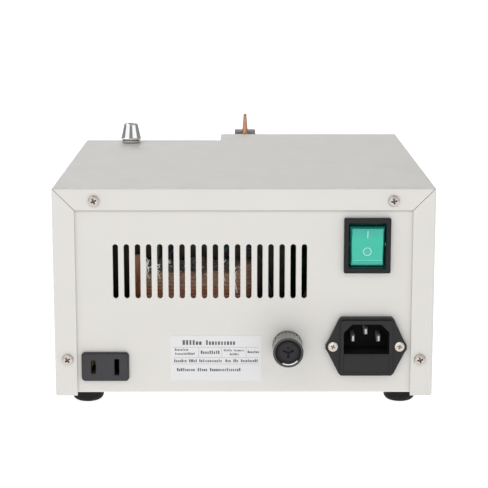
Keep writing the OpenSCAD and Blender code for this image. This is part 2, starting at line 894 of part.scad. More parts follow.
// Fluted dial with a pointer groove
module dial() {
    flutes = 18;
    difference() {
        union() {
            rod(dial_r + 1.5, 0.7, 2.6);
            rod(dial_r, 2.6, dial_h - 1);
            translate([0, 0, dial_h - 1]) cylinder(r1 = dial_r, r2 = dial_r - 1, h = 1);
        }
        for (i = [0 : flutes - 1]) rotate([0, 0, (i + 0.5) * 360 / flutes])
            translate([dial_r + 0.6, 0, 0]) rod(1.1, 2.6, dial_h + 1);
        translate([-0.4, 3, dial_h - 0.5]) cube([0.8, dial_r, 2]);
        rod(nut_r + 0.3, 0, 3.2);
        rod(shaft_r + 0.01, 0, dial_h - 2);
    }
}

module pulse_knob() {
    color([0.1, 0.1, 0.1])
    at_main(panel_x - dial_gap_x / 2, dial_z) dial();
}

module pulse_shaft() {
    color([0.7, 0.7, 0.7])
    at_main(panel_x - dial_gap_x / 2, dial_z) pot_shaft(dial_h - 2.1);
}

module current_knob() {
    color([0.1, 0.1, 0.1])
    at_main(panel_x + dial_gap_x / 2, dial_z) dial();
}

module current_shaft() {
    color([0.7, 0.7, 0.7])
    at_main(panel_x + dial_gap_x / 2, dial_z) pot_shaft(dial_h - 2.1);
}

// ---- control panel ----

module control_overlay() {
    color([0.2, 0.3, 0.42])
    at_main(panel_x, dial_z) difference() {
        linear_extrude(0.3) round_rect(78, 88, 3);
        translate([0, display_z - dial_z, 0]) plate(display_w + 0.4, display_h + 0.4, -1, 1);
        for (side = [-1, 1]) {
            translate([side * dial_gap_x / 2, 0, 0]) rod(bush_r + 0.1, -1, 1);
            translate([side * key_x, key_z - dial_z, 0]) rod(key_r + 0.3, -1, 1);
            translate([side * 12, led_z - dial_z, 0]) rod(1.5 + hole_gap, -1, 1);
        }
        translate([0, key_z - dial_z, 0]) rod(weld_cap_r + 0.3, -1, 1);
    }
}

module display_module() {
    color([0.1, 0.1, 0.1])
    at_main(panel_x, display_z) difference() {
        plate(display_w + 6, display_h + 5, -sheet_t - 8, -sheet_t);
        plate(display_w, display_h, -sheet_t - 1.5, 0);
    }
}

module display_lens() {
    color([0.25, 0.05, 0.05])
    at_main(panel_x, display_z) plate(display_w, display_h, -sheet_t - 0.4, 0.8);
}

// Push cap with a retaining shoulder behind the panel
module push_cap(r, out, travel) {
    rod(r, -sheet_t, out - 0.5);
    translate([0, 0, out - 0.5]) cylinder(r1 = r, r2 = r - 0.5, h = 0.5);
    rod(r + 1.2, -sheet_t - 2, -sheet_t);
    rod(1.5, -sheet_t - 4, -sheet_t - 2);
}

module weld_button() {
    color([0.75, 0.1, 0.08])
    at_main(panel_x + weld_x, key_z) push_cap(weld_cap_r, 5, weld_travel);
}

module up_key() {
    color([0.85, 0.85, 0.83])
    at_main(panel_x - key_x, key_z) push_cap(key_r, 3.2, key_travel);
}

module down_key() {
    color([0.85, 0.85, 0.83])
    at_main(panel_x + key_x, key_z) push_cap(key_r, 3.2, key_travel);
}

// Spring contact blocks on the board, a travel and a little more behind each cap's stem
module key_switches() {
    back = -board_gap;
    stems = [[-key_x, key_travel, 4.5], [0, weld_travel, 6], [key_x, key_travel, 4.5]];
    color([0.2, 0.2, 0.22])
    at_main(panel_x, key_z) for (stem = stems) translate([stem[0], 0, 0])
        plate(stem[2] * 2, stem[2] * 2, back, -sheet_t - 4 - stem[1] - 0.3);
}

module indicator_leds() {
    color([0.3, 0.8, 0.3])
    for (side = [-1, 1]) at_main(panel_x + side * 12, led_z) {
        rod(1.5, -sheet_t, 0.6);
        translate([0, 0, 0.6]) cylinder(r1 = 1.5, r2 = 0.8, h = 0.9);
        rod(2, -sheet_t - 2, -sheet_t);
        for (leg = [-1, 1]) translate([leg * 1.27, 0, 0]) plate(0.5, 0.5, -board_gap, -sheet_t - 2);
    }
}

module control_board() {
    color([0.05, 0.35, 0.2])
    at_main(panel_x, board_z) {
        difference() {
            plate(board_w, board_h, -board_gap - board_t, -board_gap);
            at_board_corners() rod(1.6, -board_gap - 3, -board_gap + 1);
        }
        translate([-18, 4, 0]) plate(20, 12, -board_gap - board_t - 3, -board_gap - board_t);
        translate([22, -22, 0]) plate(16, 20, -board_gap - board_t - 14, -board_gap - board_t);
        for (i = [0 : 2]) translate([10 + i * 11, 30, 0])
            rod(4.5, -board_gap - board_t - 14, -board_gap - board_t);
    }
}

module at_board_corners() {
    for (sx = [-1, 1], sy = [-1, 1]) {
        translate([sx * (board_w / 2 - 4), sy * (board_h / 2 - 4), 0]) children();
    }
}

module board_standoffs() {
    color([0.8, 0.7, 0.4])
    at_main(panel_x, board_z) at_board_corners() {
        hex(standoff_r, -board_gap, -sheet_t);
        rod(1.5, -board_gap - board_t - 2, -board_gap);
        rod(2.6, -board_gap - board_t - 3.5, -board_gap - board_t);
    }
}

// ---- pedal jack and output terminals ----

module pedal_jack() {
    color([0.15, 0.15, 0.16])
    at_short(terminal_x, jack_z) difference() {
        union() {
            rod(5, -sheet_t - 1, 4.5);
            plate(18, 16, -sheet_t - 28, -sheet_t);
            hex(8, 0, 2.5);
        }
        rod(jack_r, -sheet_t - 26, 6);
    }
}

module output_studs() {
    color([0.85, 0.68, 0.32])
    for (side = [-1, 1]) at_short(terminal_x + side * stud_gap / 2, stud_z) {
        rod(stud_r, -sheet_t - 16, 4 + 5 + stud_free);
        difference() {
            hex(7.5, 4, 9);
            rod(stud_r, 3, 10);
        }
        difference() {
            hex(7.5, -sheet_t - 9, -sheet_t - 4);
            rod(stud_r, -sheet_t - 10, -sheet_t);
        }
    }
}

module stud_insulators() {
    color([0.1, 0.1, 0.1])
    for (side = [-1, 1]) at_short(terminal_x + side * stud_gap / 2, stud_z) difference() {
        union() {
            rod(11, 0, 4);
            rod(6, -sheet_t, 0);
            rod(10, -sheet_t - 4, -sheet_t);
        }
        rod(stud_r + 0.02, -10, 10);
    }
}

// ---- weld head ----

// Local axes at the weld head: x across, y forward (towards -Y), z up from the cover's bottom edge
module at_head() {
    translate([head_x, rear_y, z0]) mirror([0, 1, 0]) children();
}

module cross_rod(r, d, h, half) {
    translate([-half, d, h]) rotate([0, 90, 0]) cylinder(r = r, h = 2 * half);
}

module head_screw_places(h) {
    for (side = [-1, 1]) translate([side * 4.7, head_front - clamp_screw_head, h])
        rotate([-90, 0, 0]) children();
}

// An arm's head block with the groove for the rod and the screw holes
module arm_head(low, high, screw_h) {
    difference() {
        span([-clamp_w / 2, head_back - head_len, low], [clamp_w / 2, head_back, high]);
        translate([0, tip_d, low - 1]) cylinder(r = rod_r + 0.02, h = high - low + 2);
        head_screw_places(screw_h) rod(screw_r + run_gap, -head_len - 4, 0);
    }
}

module clamp_parts(low, high, screw_h) {
    front = head_front - clamp_screw_head;
    difference() {
        span([-clamp_w / 2, front - head_plate_t, low], [clamp_w / 2, front, high]);
        translate([0, tip_d, low - 1]) cylinder(r = rod_r + 0.02, h = high - low + 2);
        head_screw_places(screw_h) rod(screw_r + run_gap, -head_len, 1);
    }
    head_screw_places(screw_h) {
        difference() {
            rod(2.1, 0, clamp_screw_head);
            hex(1.4, 1, clamp_screw_head + 1);
        }
        rod(screw_r, -12, 0);
    }
}

module head_insulator() {
    mid = (plate_low + plate_high) / 2;
    color([0.16, 0.1, 0.07])
    at_main(head_x, mid) difference() {
        linear_extrude(3) round_rect(plate_w, plate_high - plate_low, 2);
        translate([0, arm_z - mid, 0]) span([-7, -slot_low, -1], [7, slot_high, 4]);
        translate([0, low_arm_z - mid, 0]) plate(arm_w + 0.2, arm_h + 0.2, -1, 4);
    }
}

module head_frame() {
    inner = frame_inner / 2;
    outer = inner + frame_t;
    color([0.7, 0.7, 0.68])
    at_head() difference() {
        union() {
            for (side = [-1, 1]) {
                low_x = side < 0 ? -outer : inner;
                span([low_x, spring_d - 8, floor_top], [low_x + frame_t, main_face - 12, arm_z + 12]);
            }
            span([-inner - eps, spring_d - 8, floor_top], [inner + eps, main_face - 30, floor_top + frame_t]);
            span([-inner - eps, spring_d - 8, spring_seat - 3], [inner + eps, spring_d + 8, spring_seat]);
        }
        cross_rod(pivot_r + run_gap, pivot_d, arm_z, 30);
    }
}

module pivot_shaft() {
    half = frame_inner / 2 + frame_t;
    color([0.75, 0.75, 0.77])
    at_head() {
        cross_rod(pivot_r, pivot_d, arm_z, half + 0.3);
        for (side = [-1, 1]) translate([side * (half + 1), 0, 0]) cross_rod(6, pivot_d, arm_z, 0.8);
    }
}

module pivot_bush() {
    color([0.9, 0.88, 0.82])
    at_head() difference() {
        union() {
            cross_rod(pivot_r + bush_wall, pivot_d, arm_z, arm_w / 2);
            for (side = [-1, 1]) translate([side * (arm_w / 2 + 1.25), 0, 0])
                cross_rod(7.5, pivot_d, arm_z, 1.25);
        }
        cross_rod(pivot_r + run_gap, pivot_d, arm_z, 30);
    }
}

module upper_arm() {
    mid = arm_w / 2;
    color([0.8, 0.62, 0.3])
    at_head() {
        difference() {
            union() {
                span([-mid, upper_arm_back, arm_z - arm_h / 2],
                     [mid, head_back - head_len + eps, arm_z + arm_h / 2]);
                cross_rod(9, pivot_d, arm_z, mid);
            }
            cross_rod(pivot_r + bush_wall, pivot_d, arm_z, 30);
        }
        arm_head(upper_head_low, upper_head_top, arm_z);
    }
}

// Round rod along z with a tapered end at one or both ends
module electrode(low, high, low_taper, high_taper) {
    translate([0, 0, low]) cylinder(r1 = low_taper > 0 ? 0.8 : rod_r, r2 = rod_r, h = max(low_taper, 1));
    rod(rod_r, low + max(low_taper, 1), high - max(high_taper, 1));
    translate([0, 0, high - max(high_taper, 1)])
        cylinder(r1 = rod_r, r2 = high_taper > 0 ? 0.9 : rod_r, h = max(high_taper, 1));
}

module upper_electrode() {
    color([0.78, 0.45, 0.3])
    at_head() translate([0, tip_d, 0]) electrode(tip_z + 0.05, rod_top, rod_taper, rod_taper);
}

module upper_clamp() {
    color([0.6, 0.6, 0.62])
    at_head() clamp_parts(upper_head_low, clamp_top, arm_z);
}

module lower_arm() {
    mid = arm_w / 2;
    color([0.8, 0.62, 0.3])
    at_head() {
        span([-mid, lower_arm_back, low_arm_z - arm_h / 2],
             [mid, head_back - head_len + eps, low_arm_z + arm_h / 2]);
        arm_head(lower_head_low, lower_head_top, low_arm_z + 3);
    }
}

module lower_electrode() {
    color([0.78, 0.45, 0.3])
    at_head() translate([0, tip_d, 0]) electrode(rod_low, tip_z, 0, rod_taper);
}

module lower_clamp() {
    color([0.6, 0.6, 0.62])
    at_head() clamp_parts(lower_head_low, lower_head_top, low_arm_z + 3);
}

// Direction of a line of points at point i
function ahead(path, i) =
    let (d = path[min(i + 1, len(path) - 1)] - path[max(i - 1, 0)]) d / norm(d);

// One sideways direction for each point, carried along so that the tube doesn't twist
function carry(path, i, side) = i == len(path) ? [] :
    let (t = ahead(path, i), s = side - t * (side * t), unit = s / norm(s))
    concat([unit], carry(path, i + 1, unit));

// Round tube of radius r along a line of points
module sweep(path, r, sides, start_side) {
    across = carry(path, 0, start_side);
    last = len(path) - 1;
    points = [for (i = [0 : last], k = [0 : sides - 1])
        let (q = k * 360 / sides, other = cross(ahead(path, i), across[i]))
        path[i] + r * (cos(q) * across[i] + sin(q) * other)];
    skin = [for (i = [0 : last - 1], k = [0 : sides - 1]) let (n = (k + 1) % sides)
        [i * sides + k, (i + 1) * sides + k, (i + 1) * sides + n, i * sides + n]];
    first_cap = [for (k = [0 : sides - 1]) k];
    last_cap = [for (k = [sides - 1 : -1 : 0]) last * sides + k];
    polyhedron(points, concat([first_cap], skin, [last_cap]));
}

function helix(turns, length, steps) = let (rise = (length - 2 * spring_wire) / (turns * steps))
    [for (i = [0 : turns * steps]) let (a = i * 360 / steps)
        [spring_r * cos(a), spring_r * sin(a), spring_wire + i * rise]];

module pressure_spring() {
    gap = 0.05;
    color([0.6, 0.6, 0.6])
    at_head() translate([0, spring_d, spring_seat + gap])
        sweep(helix(6, arm_z - arm_h / 2 - spring_seat - 2 * gap, 20), spring_wire, 8, [1, 0, 0]);
}

// ---- power parts ----

module transformer_core() {
    window_w = (core_w - leg_w) / 4;
    color([0.25, 0.25, 0.27])
    translate([core_x, yd(core_d + core_stack), z0 + core_low]) difference() {
        union() {
            span([-core_w / 2, 0, 0], [core_w / 2, core_stack, core_h]);
            span([-core_w / 2 - 9, 8, -1.2], [core_w / 2 + 9, core_stack - 8, 1.2]);
        }
        for (side = [-1, 1]) translate([side * (leg_w / 2 + window_w / 2), 0, 0])
            span([-window_w / 2, -1, yoke], [window_w / 2, core_stack + 1, core_h - yoke]);
    }
}

module transformer_coil() {
    h = coil_high - coil_low;
    color([0.55, 0.27, 0.15])
    translate([core_x, yd(core_d + core_stack / 2), z0 + coil_low]) linear_extrude(h) difference() {
        round_rect(coil_w, core_stack + 2 * coil_reach, 5);
        square([leg_w + 0.6, core_stack + 0.6], center = true);
    }
}

// Solid copper bar from the winding to the rear end of the lower arm
module lower_busbar() {
    color([0.8, 0.5, 0.35])
    at_head() span([-arm_w / 2, coil_front + seam, low_arm_z - arm_h / 2],
                   [arm_w / 2, lower_arm_back - seam, low_arm_z + arm_h / 2]);
}

// Laminated copper strap that rises from the winding and bends over to the upper arm's tail
module flexible_link() {
    t = 2;
    bend = 8;
    turn_h = arm_z + t / 2 - bend;
    color([0.8, 0.5, 0.35])
    at_head() rotate([90, 0, 90]) translate([0, 0, -arm_w / 2]) linear_extrude(arm_w) {
        translate([coil_front + seam, link_low]) square([t, turn_h - link_low]);
        intersection() {
            translate([coil_front + seam + bend, turn_h]) difference() {
                circle(bend);
                circle(bend - t);
            }
            translate([coil_front + seam, turn_h]) square(bend);
        }
        translate([coil_front + seam + bend, arm_z - t / 2])
            square([upper_arm_back - coil_front - 2 * seam - bend, t]);
    }
}

module thyristor_heatsink() {
    fins = 9;
    color([0.7, 0.7, 0.72])
    translate([-68, yd(125), z0 + floor_top]) {
        span([-26, 0, 0], [26, 50, 5]);
        for (i = [0 : fins - 1]) span([-26 + i * 6.2, 0, 5], [-26 + i * 6.2 + 1.6, 50, 28]);
    }
}

// Ends of the terminals that the wires are soldered to, forward of the rear flanges
panel_d = sheet_t + rear_gap;
tab_d = panel_d + switch_depth + 8;
blade_d = panel_d + inlet_body_depth + 8;
fuse_d = panel_d + fuse_neck_len;
tail_d = panel_d + outlet_depth + outlet_tail;
board_d = main_face - board_gap - board_t;
straight = 5;

// Each wire's route: [from the middle, forward of the rear flanges, height]
inlet_to_switch = [[inlet_x + 7, blade_d, inlet_z + 3.6], [inlet_x + 7, blade_d + straight, inlet_z + 3.6],
    [-60, 47, 42], [-63, 46, 60], [switch_x, tab_d + straight, switch_z - 8],
    [switch_x, tab_d, switch_z - 8]];
switch_to_fuse = [[switch_x, tab_d, switch_z], [switch_x, tab_d + straight, switch_z], [-58, 46, 80],
    [-44, 46, 62], [-32, 44, 40], [fuse_x - 3, fuse_d + straight, fuse_z - 2],
    [fuse_x - 3, fuse_d, fuse_z - 2]];
fuse_to_coil = [[fuse_x + 3, fuse_d, fuse_z + 2], [fuse_x + 3, fuse_d + straight, fuse_z + 2], [-17, 43, 42],
    [-13, 46, 58], [-6, 47, 71], [12, 50, 77], [33, 48, 77],
    [42, 47, coil_high + straight], [42, 47, coil_high]];
inlet_to_coil = [[inlet_x - 7, blade_d, inlet_z + 3.6], [inlet_x - 7, blade_d + straight, inlet_z + 3.6],
    [-72, 50, 42], [-56, 52, 66], [-34, 48, 78], [-6, 46, 79], [8, 46, 74],
    [12, 46, coil_high + straight],
    [12, 46, coil_high]];
earth_lead = [[inlet_x, blade_d, inlet_z + 7.6], [inlet_x, blade_d + straight, inlet_z + 7.6],
    [-64, 50, 30], [-52, 54, 18], [-48, 55, floor_top + straight],
    [-48, 55, floor_top]];
outlet_to_switch = [[outlet_x - 6.35, tail_d, outlet_z], [outlet_x - 6.35, tail_d + straight, outlet_z],
    [62, 36, 8], [40, 37, 7], [0, 37, 7], [-30, 38, 7], [-44, 48, 12], [-47, 60, 40], [-56, 56, 72],
    [-64, 47, 88], [switch_x, tab_d + straight, switch_z + 8], [switch_x, tab_d, switch_z + 8]];
outlet_to_fuse = [[outlet_x + 6.35, tail_d, outlet_z], [outlet_x + 6.35, tail_d + straight, outlet_z],
    [76, 41, 9], [50, 41, 7], [0, 41, 7], [-14, 42, 9], [-20, 40, 17],
    [fuse_x + 3.4, fuse_d + straight, fuse_z - 2.6], [fuse_x + 3.4, fuse_d, fuse_z - 2.6]];
coil_to_board = [[48.5, 47, coil_high], [48.5, 47, coil_high + straight], [46, 52, 88], [22, 74, 95],
    [-24, 120, 92], [-42, 165, 78], [-54, 195, 56], [-56, board_d - straight, 50], [-56, board_d, 50]];

// Smooth line through the route's points, straight at both ends
function spline(p, steps) = concat([p[0]], [for (i = [1 : len(p) - 3], k = [0 : steps - 1])
    let (a = p[i - 1], b = p[i], c = p[i + 1], e = p[i + 2], t = k / steps)
    (2 * b + (c - a) * t + (2 * a - 5 * b + 4 * c - e) * t * t + (3 * b - a - 3 * c + e) * t * t * t) / 2],
    [p[len(p) - 2], p[len(p) - 1]]);

module wire(route, r) {
    sweep([for (p = spline(route, 4)) [p[0], yd(p[1]), z0 + p[2]]], r, 8, [0.6, 0.3, 0.74]);
}

module internal_wiring() {
    r = 1.1;
    color([0.12, 0.18, 0.26]) {
        wire(inlet_to_switch, r);
        wire(switch_to_fuse, r);
        wire(fuse_to_coil, r);
        wire(inlet_to_coil, r);
        wire(earth_lead, r);
        wire(outlet_to_switch, r);
        wire(outlet_to_fuse, r);
        wire(coil_to_board, r);
    }
}

top_cover();
base_chassis();
front_panel();
rating_label();
cover_screws();
rubber_feet();
foot_screws();
switch_housing();
switch_rocker();
switch_tabs();
inlet_body();
inlet_blades();
inlet_screws();
inlet_fuse_drawer();
inlet_fuse();
outlet_body();
outlet_contacts();
fuse_holder_body();
fuse_holder_nut();
fuse_carrier();
fuse_cap();
panel_fuse();
chrome_knob();
top_pot_shaft();
pot_bodies();
pot_nuts();
control_overlay();
display_module();
display_lens();
pulse_knob();
pulse_shaft();
current_knob();
current_shaft();
weld_button();
up_key();
down_key();
key_switches();
indicator_leds();
control_board();
board_standoffs();
pedal_jack();
output_studs();
stud_insulators();
head_insulator();
head_frame();
pivot_shaft();
pivot_bush();
upper_arm();
upper_electrode();
upper_clamp();
lower_arm();
lower_electrode();
lower_clamp();
pressure_spring();
transformer_core();
transformer_coil();
lower_busbar();
flexible_link();
thyristor_heatsink();
internal_wiring();
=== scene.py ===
"""Looks of the bench spot welder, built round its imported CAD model.

Lengths are in millimetres until a mesh is made, and a panel's local axes are those of someone who
faces it: x to the right, y up and z out of the panel.
"""

import json
import math
import random

import bpy
from mathutils import Matrix, Vector


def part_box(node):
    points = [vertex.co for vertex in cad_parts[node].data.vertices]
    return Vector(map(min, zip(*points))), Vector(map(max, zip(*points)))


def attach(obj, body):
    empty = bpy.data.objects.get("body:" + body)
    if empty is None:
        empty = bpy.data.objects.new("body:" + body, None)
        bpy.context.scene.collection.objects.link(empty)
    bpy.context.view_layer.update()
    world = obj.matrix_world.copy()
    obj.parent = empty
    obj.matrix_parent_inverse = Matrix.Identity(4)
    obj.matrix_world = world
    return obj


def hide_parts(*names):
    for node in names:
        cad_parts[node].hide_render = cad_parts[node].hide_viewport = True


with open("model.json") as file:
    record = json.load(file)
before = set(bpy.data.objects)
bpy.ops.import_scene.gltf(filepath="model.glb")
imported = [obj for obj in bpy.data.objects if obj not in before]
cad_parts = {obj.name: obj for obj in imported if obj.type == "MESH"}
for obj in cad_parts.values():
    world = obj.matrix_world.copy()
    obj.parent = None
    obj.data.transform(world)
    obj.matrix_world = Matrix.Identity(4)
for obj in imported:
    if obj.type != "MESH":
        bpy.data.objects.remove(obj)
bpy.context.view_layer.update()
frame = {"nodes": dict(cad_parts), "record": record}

MM = 0.001
scene = bpy.context.scene
SLOT_OF = {part["node"]: part["material_slot"] for part in frame["record"]["subparts"]}
# turns from the row frame to what someone sees who faces the rear or the front
REAR = Matrix(((-1, 0, 0), (0, 0, 1), (0, 1, 0)))
FRONT = Matrix(((1, 0, 0), (0, 0, -1), (0, 1, 0)))


def low(node):
    """Lowest corner of a CAD node's box, in millimetres."""
    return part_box(node)[0] / MM


def high(node):
    """Highest corner of a CAD node's box, in millimetres."""
    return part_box(node)[1] / MM


def middle(node):
    return (low(node) + high(node)) / 2


def place(rotation, x, y, z):
    return Matrix.Translation((x, y, z)) @ rotation.to_4x4()


# the rear panel, the cover's rear flanges, and the front's main and set-back faces
REAR_Y = high("base_chassis").y
FLANGE_Y = high("top_cover").y
MAIN_Y = low("front_panel").y
INSULATOR_BEHIND = 5.2
SHORT_Y = high("stud_insulators").y - INSULATOR_BEHIND
TOP_Z = high("top_cover").z
BASE_Z = low("top_cover").z
ROCKER_HALF = 8.2
SHARP_ANGLE = math.radians(32)
CURVE_STEPS = 6


def on_rear(x, height):
    """Frame on the rear panel, with its height above the cover's lower edge."""
    return place(REAR, x, REAR_Y, BASE_Z + height)


# ---- camera, floor and light ----

# fitted to the case's corners: about 840 mm behind the rear flanges and 11 degrees above them
camera = bpy.data.objects.new("camera", bpy.data.cameras.new("camera"))
camera.data.lens = 117.08
camera.data.sensor_width = 36
camera.location = Vector((1.2, FLANGE_Y + 837.2, BASE_Z + 249.3)) * MM
camera.rotation_euler = (math.radians(90 - 11.13), 0, math.radians(180 - 0.09))
scene.collection.objects.link(camera)
scene.camera = camera
scene.view_settings.view_transform = "Standard"
scene.cycles.use_denoising = True

world = bpy.data.worlds.new("studio")
world.use_nodes = True
background = world.node_tree.nodes["Background"]
background.inputs["Color"].default_value = (1, 1, 1, 1)
background.inputs["Strength"].default_value = 0.25
scene.world = world


def softbox(name, at, target, size, watts):
    """Rectangular light that the camera doesn't see, placed and sized in metres."""
    lamp = bpy.data.lights.new(name, "AREA")
    lamp.shape = "RECTANGLE"
    lamp.size, lamp.size_y = size
    lamp.energy = watts
    obj = bpy.data.objects.new(name, lamp)
    obj.location = at
    obj.rotation_euler = (Vector(target) - Vector(at)).to_track_quat("-Z", "Y").to_euler()
    obj.visible_camera = False
    scene.collection.objects.link(obj)


softbox("overhead", (1.15, -0.05, 1.50), (0, 0, 0.10), (1.3, 1.3), 6.0)
softbox("high_rear", (0.20, 1.15, 1.35), (0, 0.10, 0.08), (1.6, 0.5), 3.6)
softbox("left", (1.20, 0.98, 0.86), (0, 0.05, 0.08), (1.8, 1.15), 4.9)
softbox("right", (-1.20, 0.98, 0.86), (0, 0.05, 0.08), (1.8, 1.15), 4.9)
softbox("low", (0.05, 1.45, 0.24), (0, 0.12, 0.07), (0.9, 0.16), 2.4)
softbox("inside", (0.0, 0.100, 0.112), (0.0, 0.06, 0.06), (0.14, 0.01), 0.0035)
softbox("controls_side", (0.10, -1.25, 0.65), (0, -0.1, 0.06), (1.0, 0.6), 3.6)


# ---- materials ----

class Paint:
    """One Principled material whose colour, roughness and surface all vary with object coordinates."""

    def __init__(self, name, color, rough, **sockets):
        self.mat = bpy.data.materials.new(name)
        self.mat.use_nodes = True
        self.nodes, self.links = self.mat.node_tree.nodes, self.mat.node_tree.links
        self.shader = self.nodes["Principled BSDF"]
        for socket, value in sockets.items():
            self.shader.inputs[socket.replace("_", " ")].default_value = value
        self.rough = rough
        self.color = tuple(color[:3])
        self.coords = self.nodes.new("ShaderNodeTexCoord").outputs["Object"]
        self.tone = None
        self.height = None

    def texture(self, kind, scale, stretch=None, **inputs):
        vector = self.coords
        if stretch:
            mapping = self.nodes.new("ShaderNodeMapping")
            mapping.inputs["Scale"].default_value = stretch
            self.links.new(vector, mapping.inputs["Vector"])
            vector = mapping.outputs["Vector"]
        node = self.nodes.new(kind)
        node.inputs["Scale"].default_value = scale
        for socket, value in inputs.items():
            node.inputs[socket].default_value = value
        self.links.new(vector, node.inputs["Vector"])
        return node

    def noise(self, scale, stretch=None, detail=3.0):
        return self.texture("ShaderNodeTexNoise", scale, stretch, Detail=detail).outputs["Fac"]

    def bands(self, scale, axis):
        node = self.texture("ShaderNodeTexWave", scale, Distortion=0.0)
        node.bands_direction = axis
        return node.outputs["Fac"]

    def ramp(self, value, start, end, first, last):
        node = self.nodes.new("ShaderNodeMapRange")
        for socket, number in (("From Min", start), ("From Max", end), ("To Min", first), ("To Max", last)):
            node.inputs[socket].default_value = number
        self.links.new(value, node.inputs["Value"])
        return node.outputs["Result"]

    def along(self, axis, start, end):
        """From 0 to 1 between two places in millimetres along an axis of the row frame."""
        split = self.nodes.new("ShaderNodeSeparateXYZ")
        self.links.new(self.coords, split.inputs[0])
        return self.ramp(split.outputs[axis], start * MM, end * MM, 0, 1)

    def mix(self, factor, first, last):
        node = self.nodes.new("ShaderNodeMix")
        node.data_type = "RGBA"
        self.links.new(factor, node.inputs[0])
        for socket, color in ((6, first), (7, last)):
            if isinstance(color, tuple):
                node.inputs[socket].default_value = (*color, 1)
            else:
                self.links.new(color, node.inputs[socket])
        return node.outputs[2]

    def scaled(self, amount):
        return tuple(min(1.0, c * amount) for c in self.color)

    def tint(self, factor, amount=0.05):
        """Varies the colour by that share to both sides."""
        self.tone = self.mix(factor, self.scaled(1 - amount), self.scaled(1 + amount))
        return self

    def over(self, factor, color):
        """Lays another colour over what is there."""
        self.tone = self.mix(factor, self.tone if self.tone else self.color, color)
        return self

    def sheen(self, factor, spread=0.08):
        self.links.new(self.ramp(factor, 0.3, 0.7, self.rough - spread, self.rough + spread),
                       self.shader.inputs["Roughness"])
        return self

    def relief(self, factor, depth):
        """Adds a bump of that depth in millimetres."""
        node = self.nodes.new("ShaderNodeBump")
        node.inputs["Distance"].default_value = depth * MM
        self.links.new(factor, node.inputs["Height"])
        if self.height:
            self.links.new(self.height, node.inputs["Normal"])
        self.height = node.outputs["Normal"]
        return self

    def done(self):
        if self.tone:
            self.links.new(self.tone, self.shader.inputs["Base Color"])
        else:
            self.shader.inputs["Base Color"].default_value = (*self.color, 1)
        if not self.shader.inputs["Roughness"].is_linked:
            self.shader.inputs["Roughness"].default_value = self.rough
        if self.height:
            self.links.new(self.height, self.shader.inputs["Normal"])
        return self.mat


CASE_PAINT = (0.700, 0.682, 0.650)
CASE_GLOSS = 0.46
BLACK_MOULDING = (0.012, 0.012, 0.013)


def coated(name, color, rough, grain, depth):
    """Powder coat, printed film or ink: faint patches, uneven gloss and a fine grain."""
    p = Paint(name, color, rough)
    p.tint(p.noise(35), 0.025).sheen(p.noise(90), 0.05)
    return p.relief(p.noise(grain, detail=2.0), depth).done()


def panel_steel_flange_shadow():
    """The powder coat on the base, with a grey line of painted shadow where the rear panel meets the upper
    flange.
    """
    p = Paint("panel_steel_flange_shadow", CASE_PAINT, CASE_GLOSS)
    joint = BASE_Z + 103
    p.tint(p.noise(35), 0.025).sheen(p.noise(90), 0.05)
    # painted shadow: grey band on the rear panel just below the upper flange's lower edge
    p.over(p.ramp(p.along("Z", joint - 1.4, joint - 0.9), 0, 1, 0, 0.9), (0.52, 0.51, 0.49))
    return p.relief(p.noise(1300, detail=2.0), 0.014).done()


def moulded(name, color, rough, grain=2600, **sockets):
    """Plastic or rubber straight from the mould: mottled, with a fine grain over shallow waves."""
    p = Paint(name, color, rough, **sockets)
    p.tint(p.noise(120), 0.12).sheen(p.noise(260), 0.07)
    return p.relief(p.noise(grain, detail=1.0), 0.012).relief(p.noise(420), 0.01).done()


def turned(name, color, rough, stretch=(1, 1, 1), grain=900, tint=0.06, depth=0.006, **sockets):
    """Bare metal with tool marks drawn out along one axis."""
    p = Paint(name, color, rough, **{"Metallic": 1.0, **sockets})
    marks = p.noise(grain, stretch)
    p.tint(p.noise(140), tint).sheen(marks, 0.07)
    return p.relief(marks, depth).done()


def copper_rod():
    """Drawn copper, dulled by heat round the tips where they meet."""
    p = Paint("copper", (0.63, 0.315, 0.205), 0.34, Metallic=1.0)
    tip = low("upper_electrode").z
    p.tint(p.noise(300), 0.10)
    heat = p.ramp(p.along("Z", tip - 9, tip), 0, 1, 0, 0.75)
    cool = p.ramp(p.along("Z", tip, tip + 9), 0, 1, 1, 0)
    both = p.nodes.new("ShaderNodeMath")
    both.operation = "MULTIPLY"
    p.links.new(heat, both.inputs[0])
    p.links.new(cool, both.inputs[1])
    p.over(both.outputs[0], (0.16, 0.085, 0.09))
    end = high("upper_electrode").z
    p.over(p.ramp(p.along("Z", end - 3, end), 0, 1, 0, 0.8), (0.27, 0.20, 0.17))
    marks = p.noise(700, (1, 1, 6))
    return p.sheen(marks, 0.08).relief(marks, 0.008).done()


def winding():
    """Enamelled copper wire, with a darker orange layer below the top turns."""
    p = Paint("winding", (0.97, 0.62, 0.45), 0.36, Metallic=0.15, Coat_Weight=0.35, Coat_Roughness=0.2)
    p.tint(p.noise(90), 0.20)
    layer = high("transformer_coil").z - 11.5
    p.over(p.along("Z", layer, layer - 1.5), (0.92, 0.46, 0.29))
    p.over(p.ramp(p.noise(45), 0.55, 0.75, 0, 0.35), (0.30, 0.11, 0.05))
    return p.sheen(p.noise(500), 0.08).relief(p.noise(900), 0.01).done()


def laminated():
    """Stack of dark steel sheets, seen at their edges."""
    p = Paint("core_steel", (0.060, 0.050, 0.043), 0.45, Metallic=0.3)
    lines = p.bands(320, "Y")
    p.tint(lines, 0.35).over(p.ramp(p.noise(70), 0.6, 0.8, 0, 0.25), (0.10, 0.05, 0.03))
    return p.sheen(p.noise(300), 0.1).relief(lines, 0.08).done()


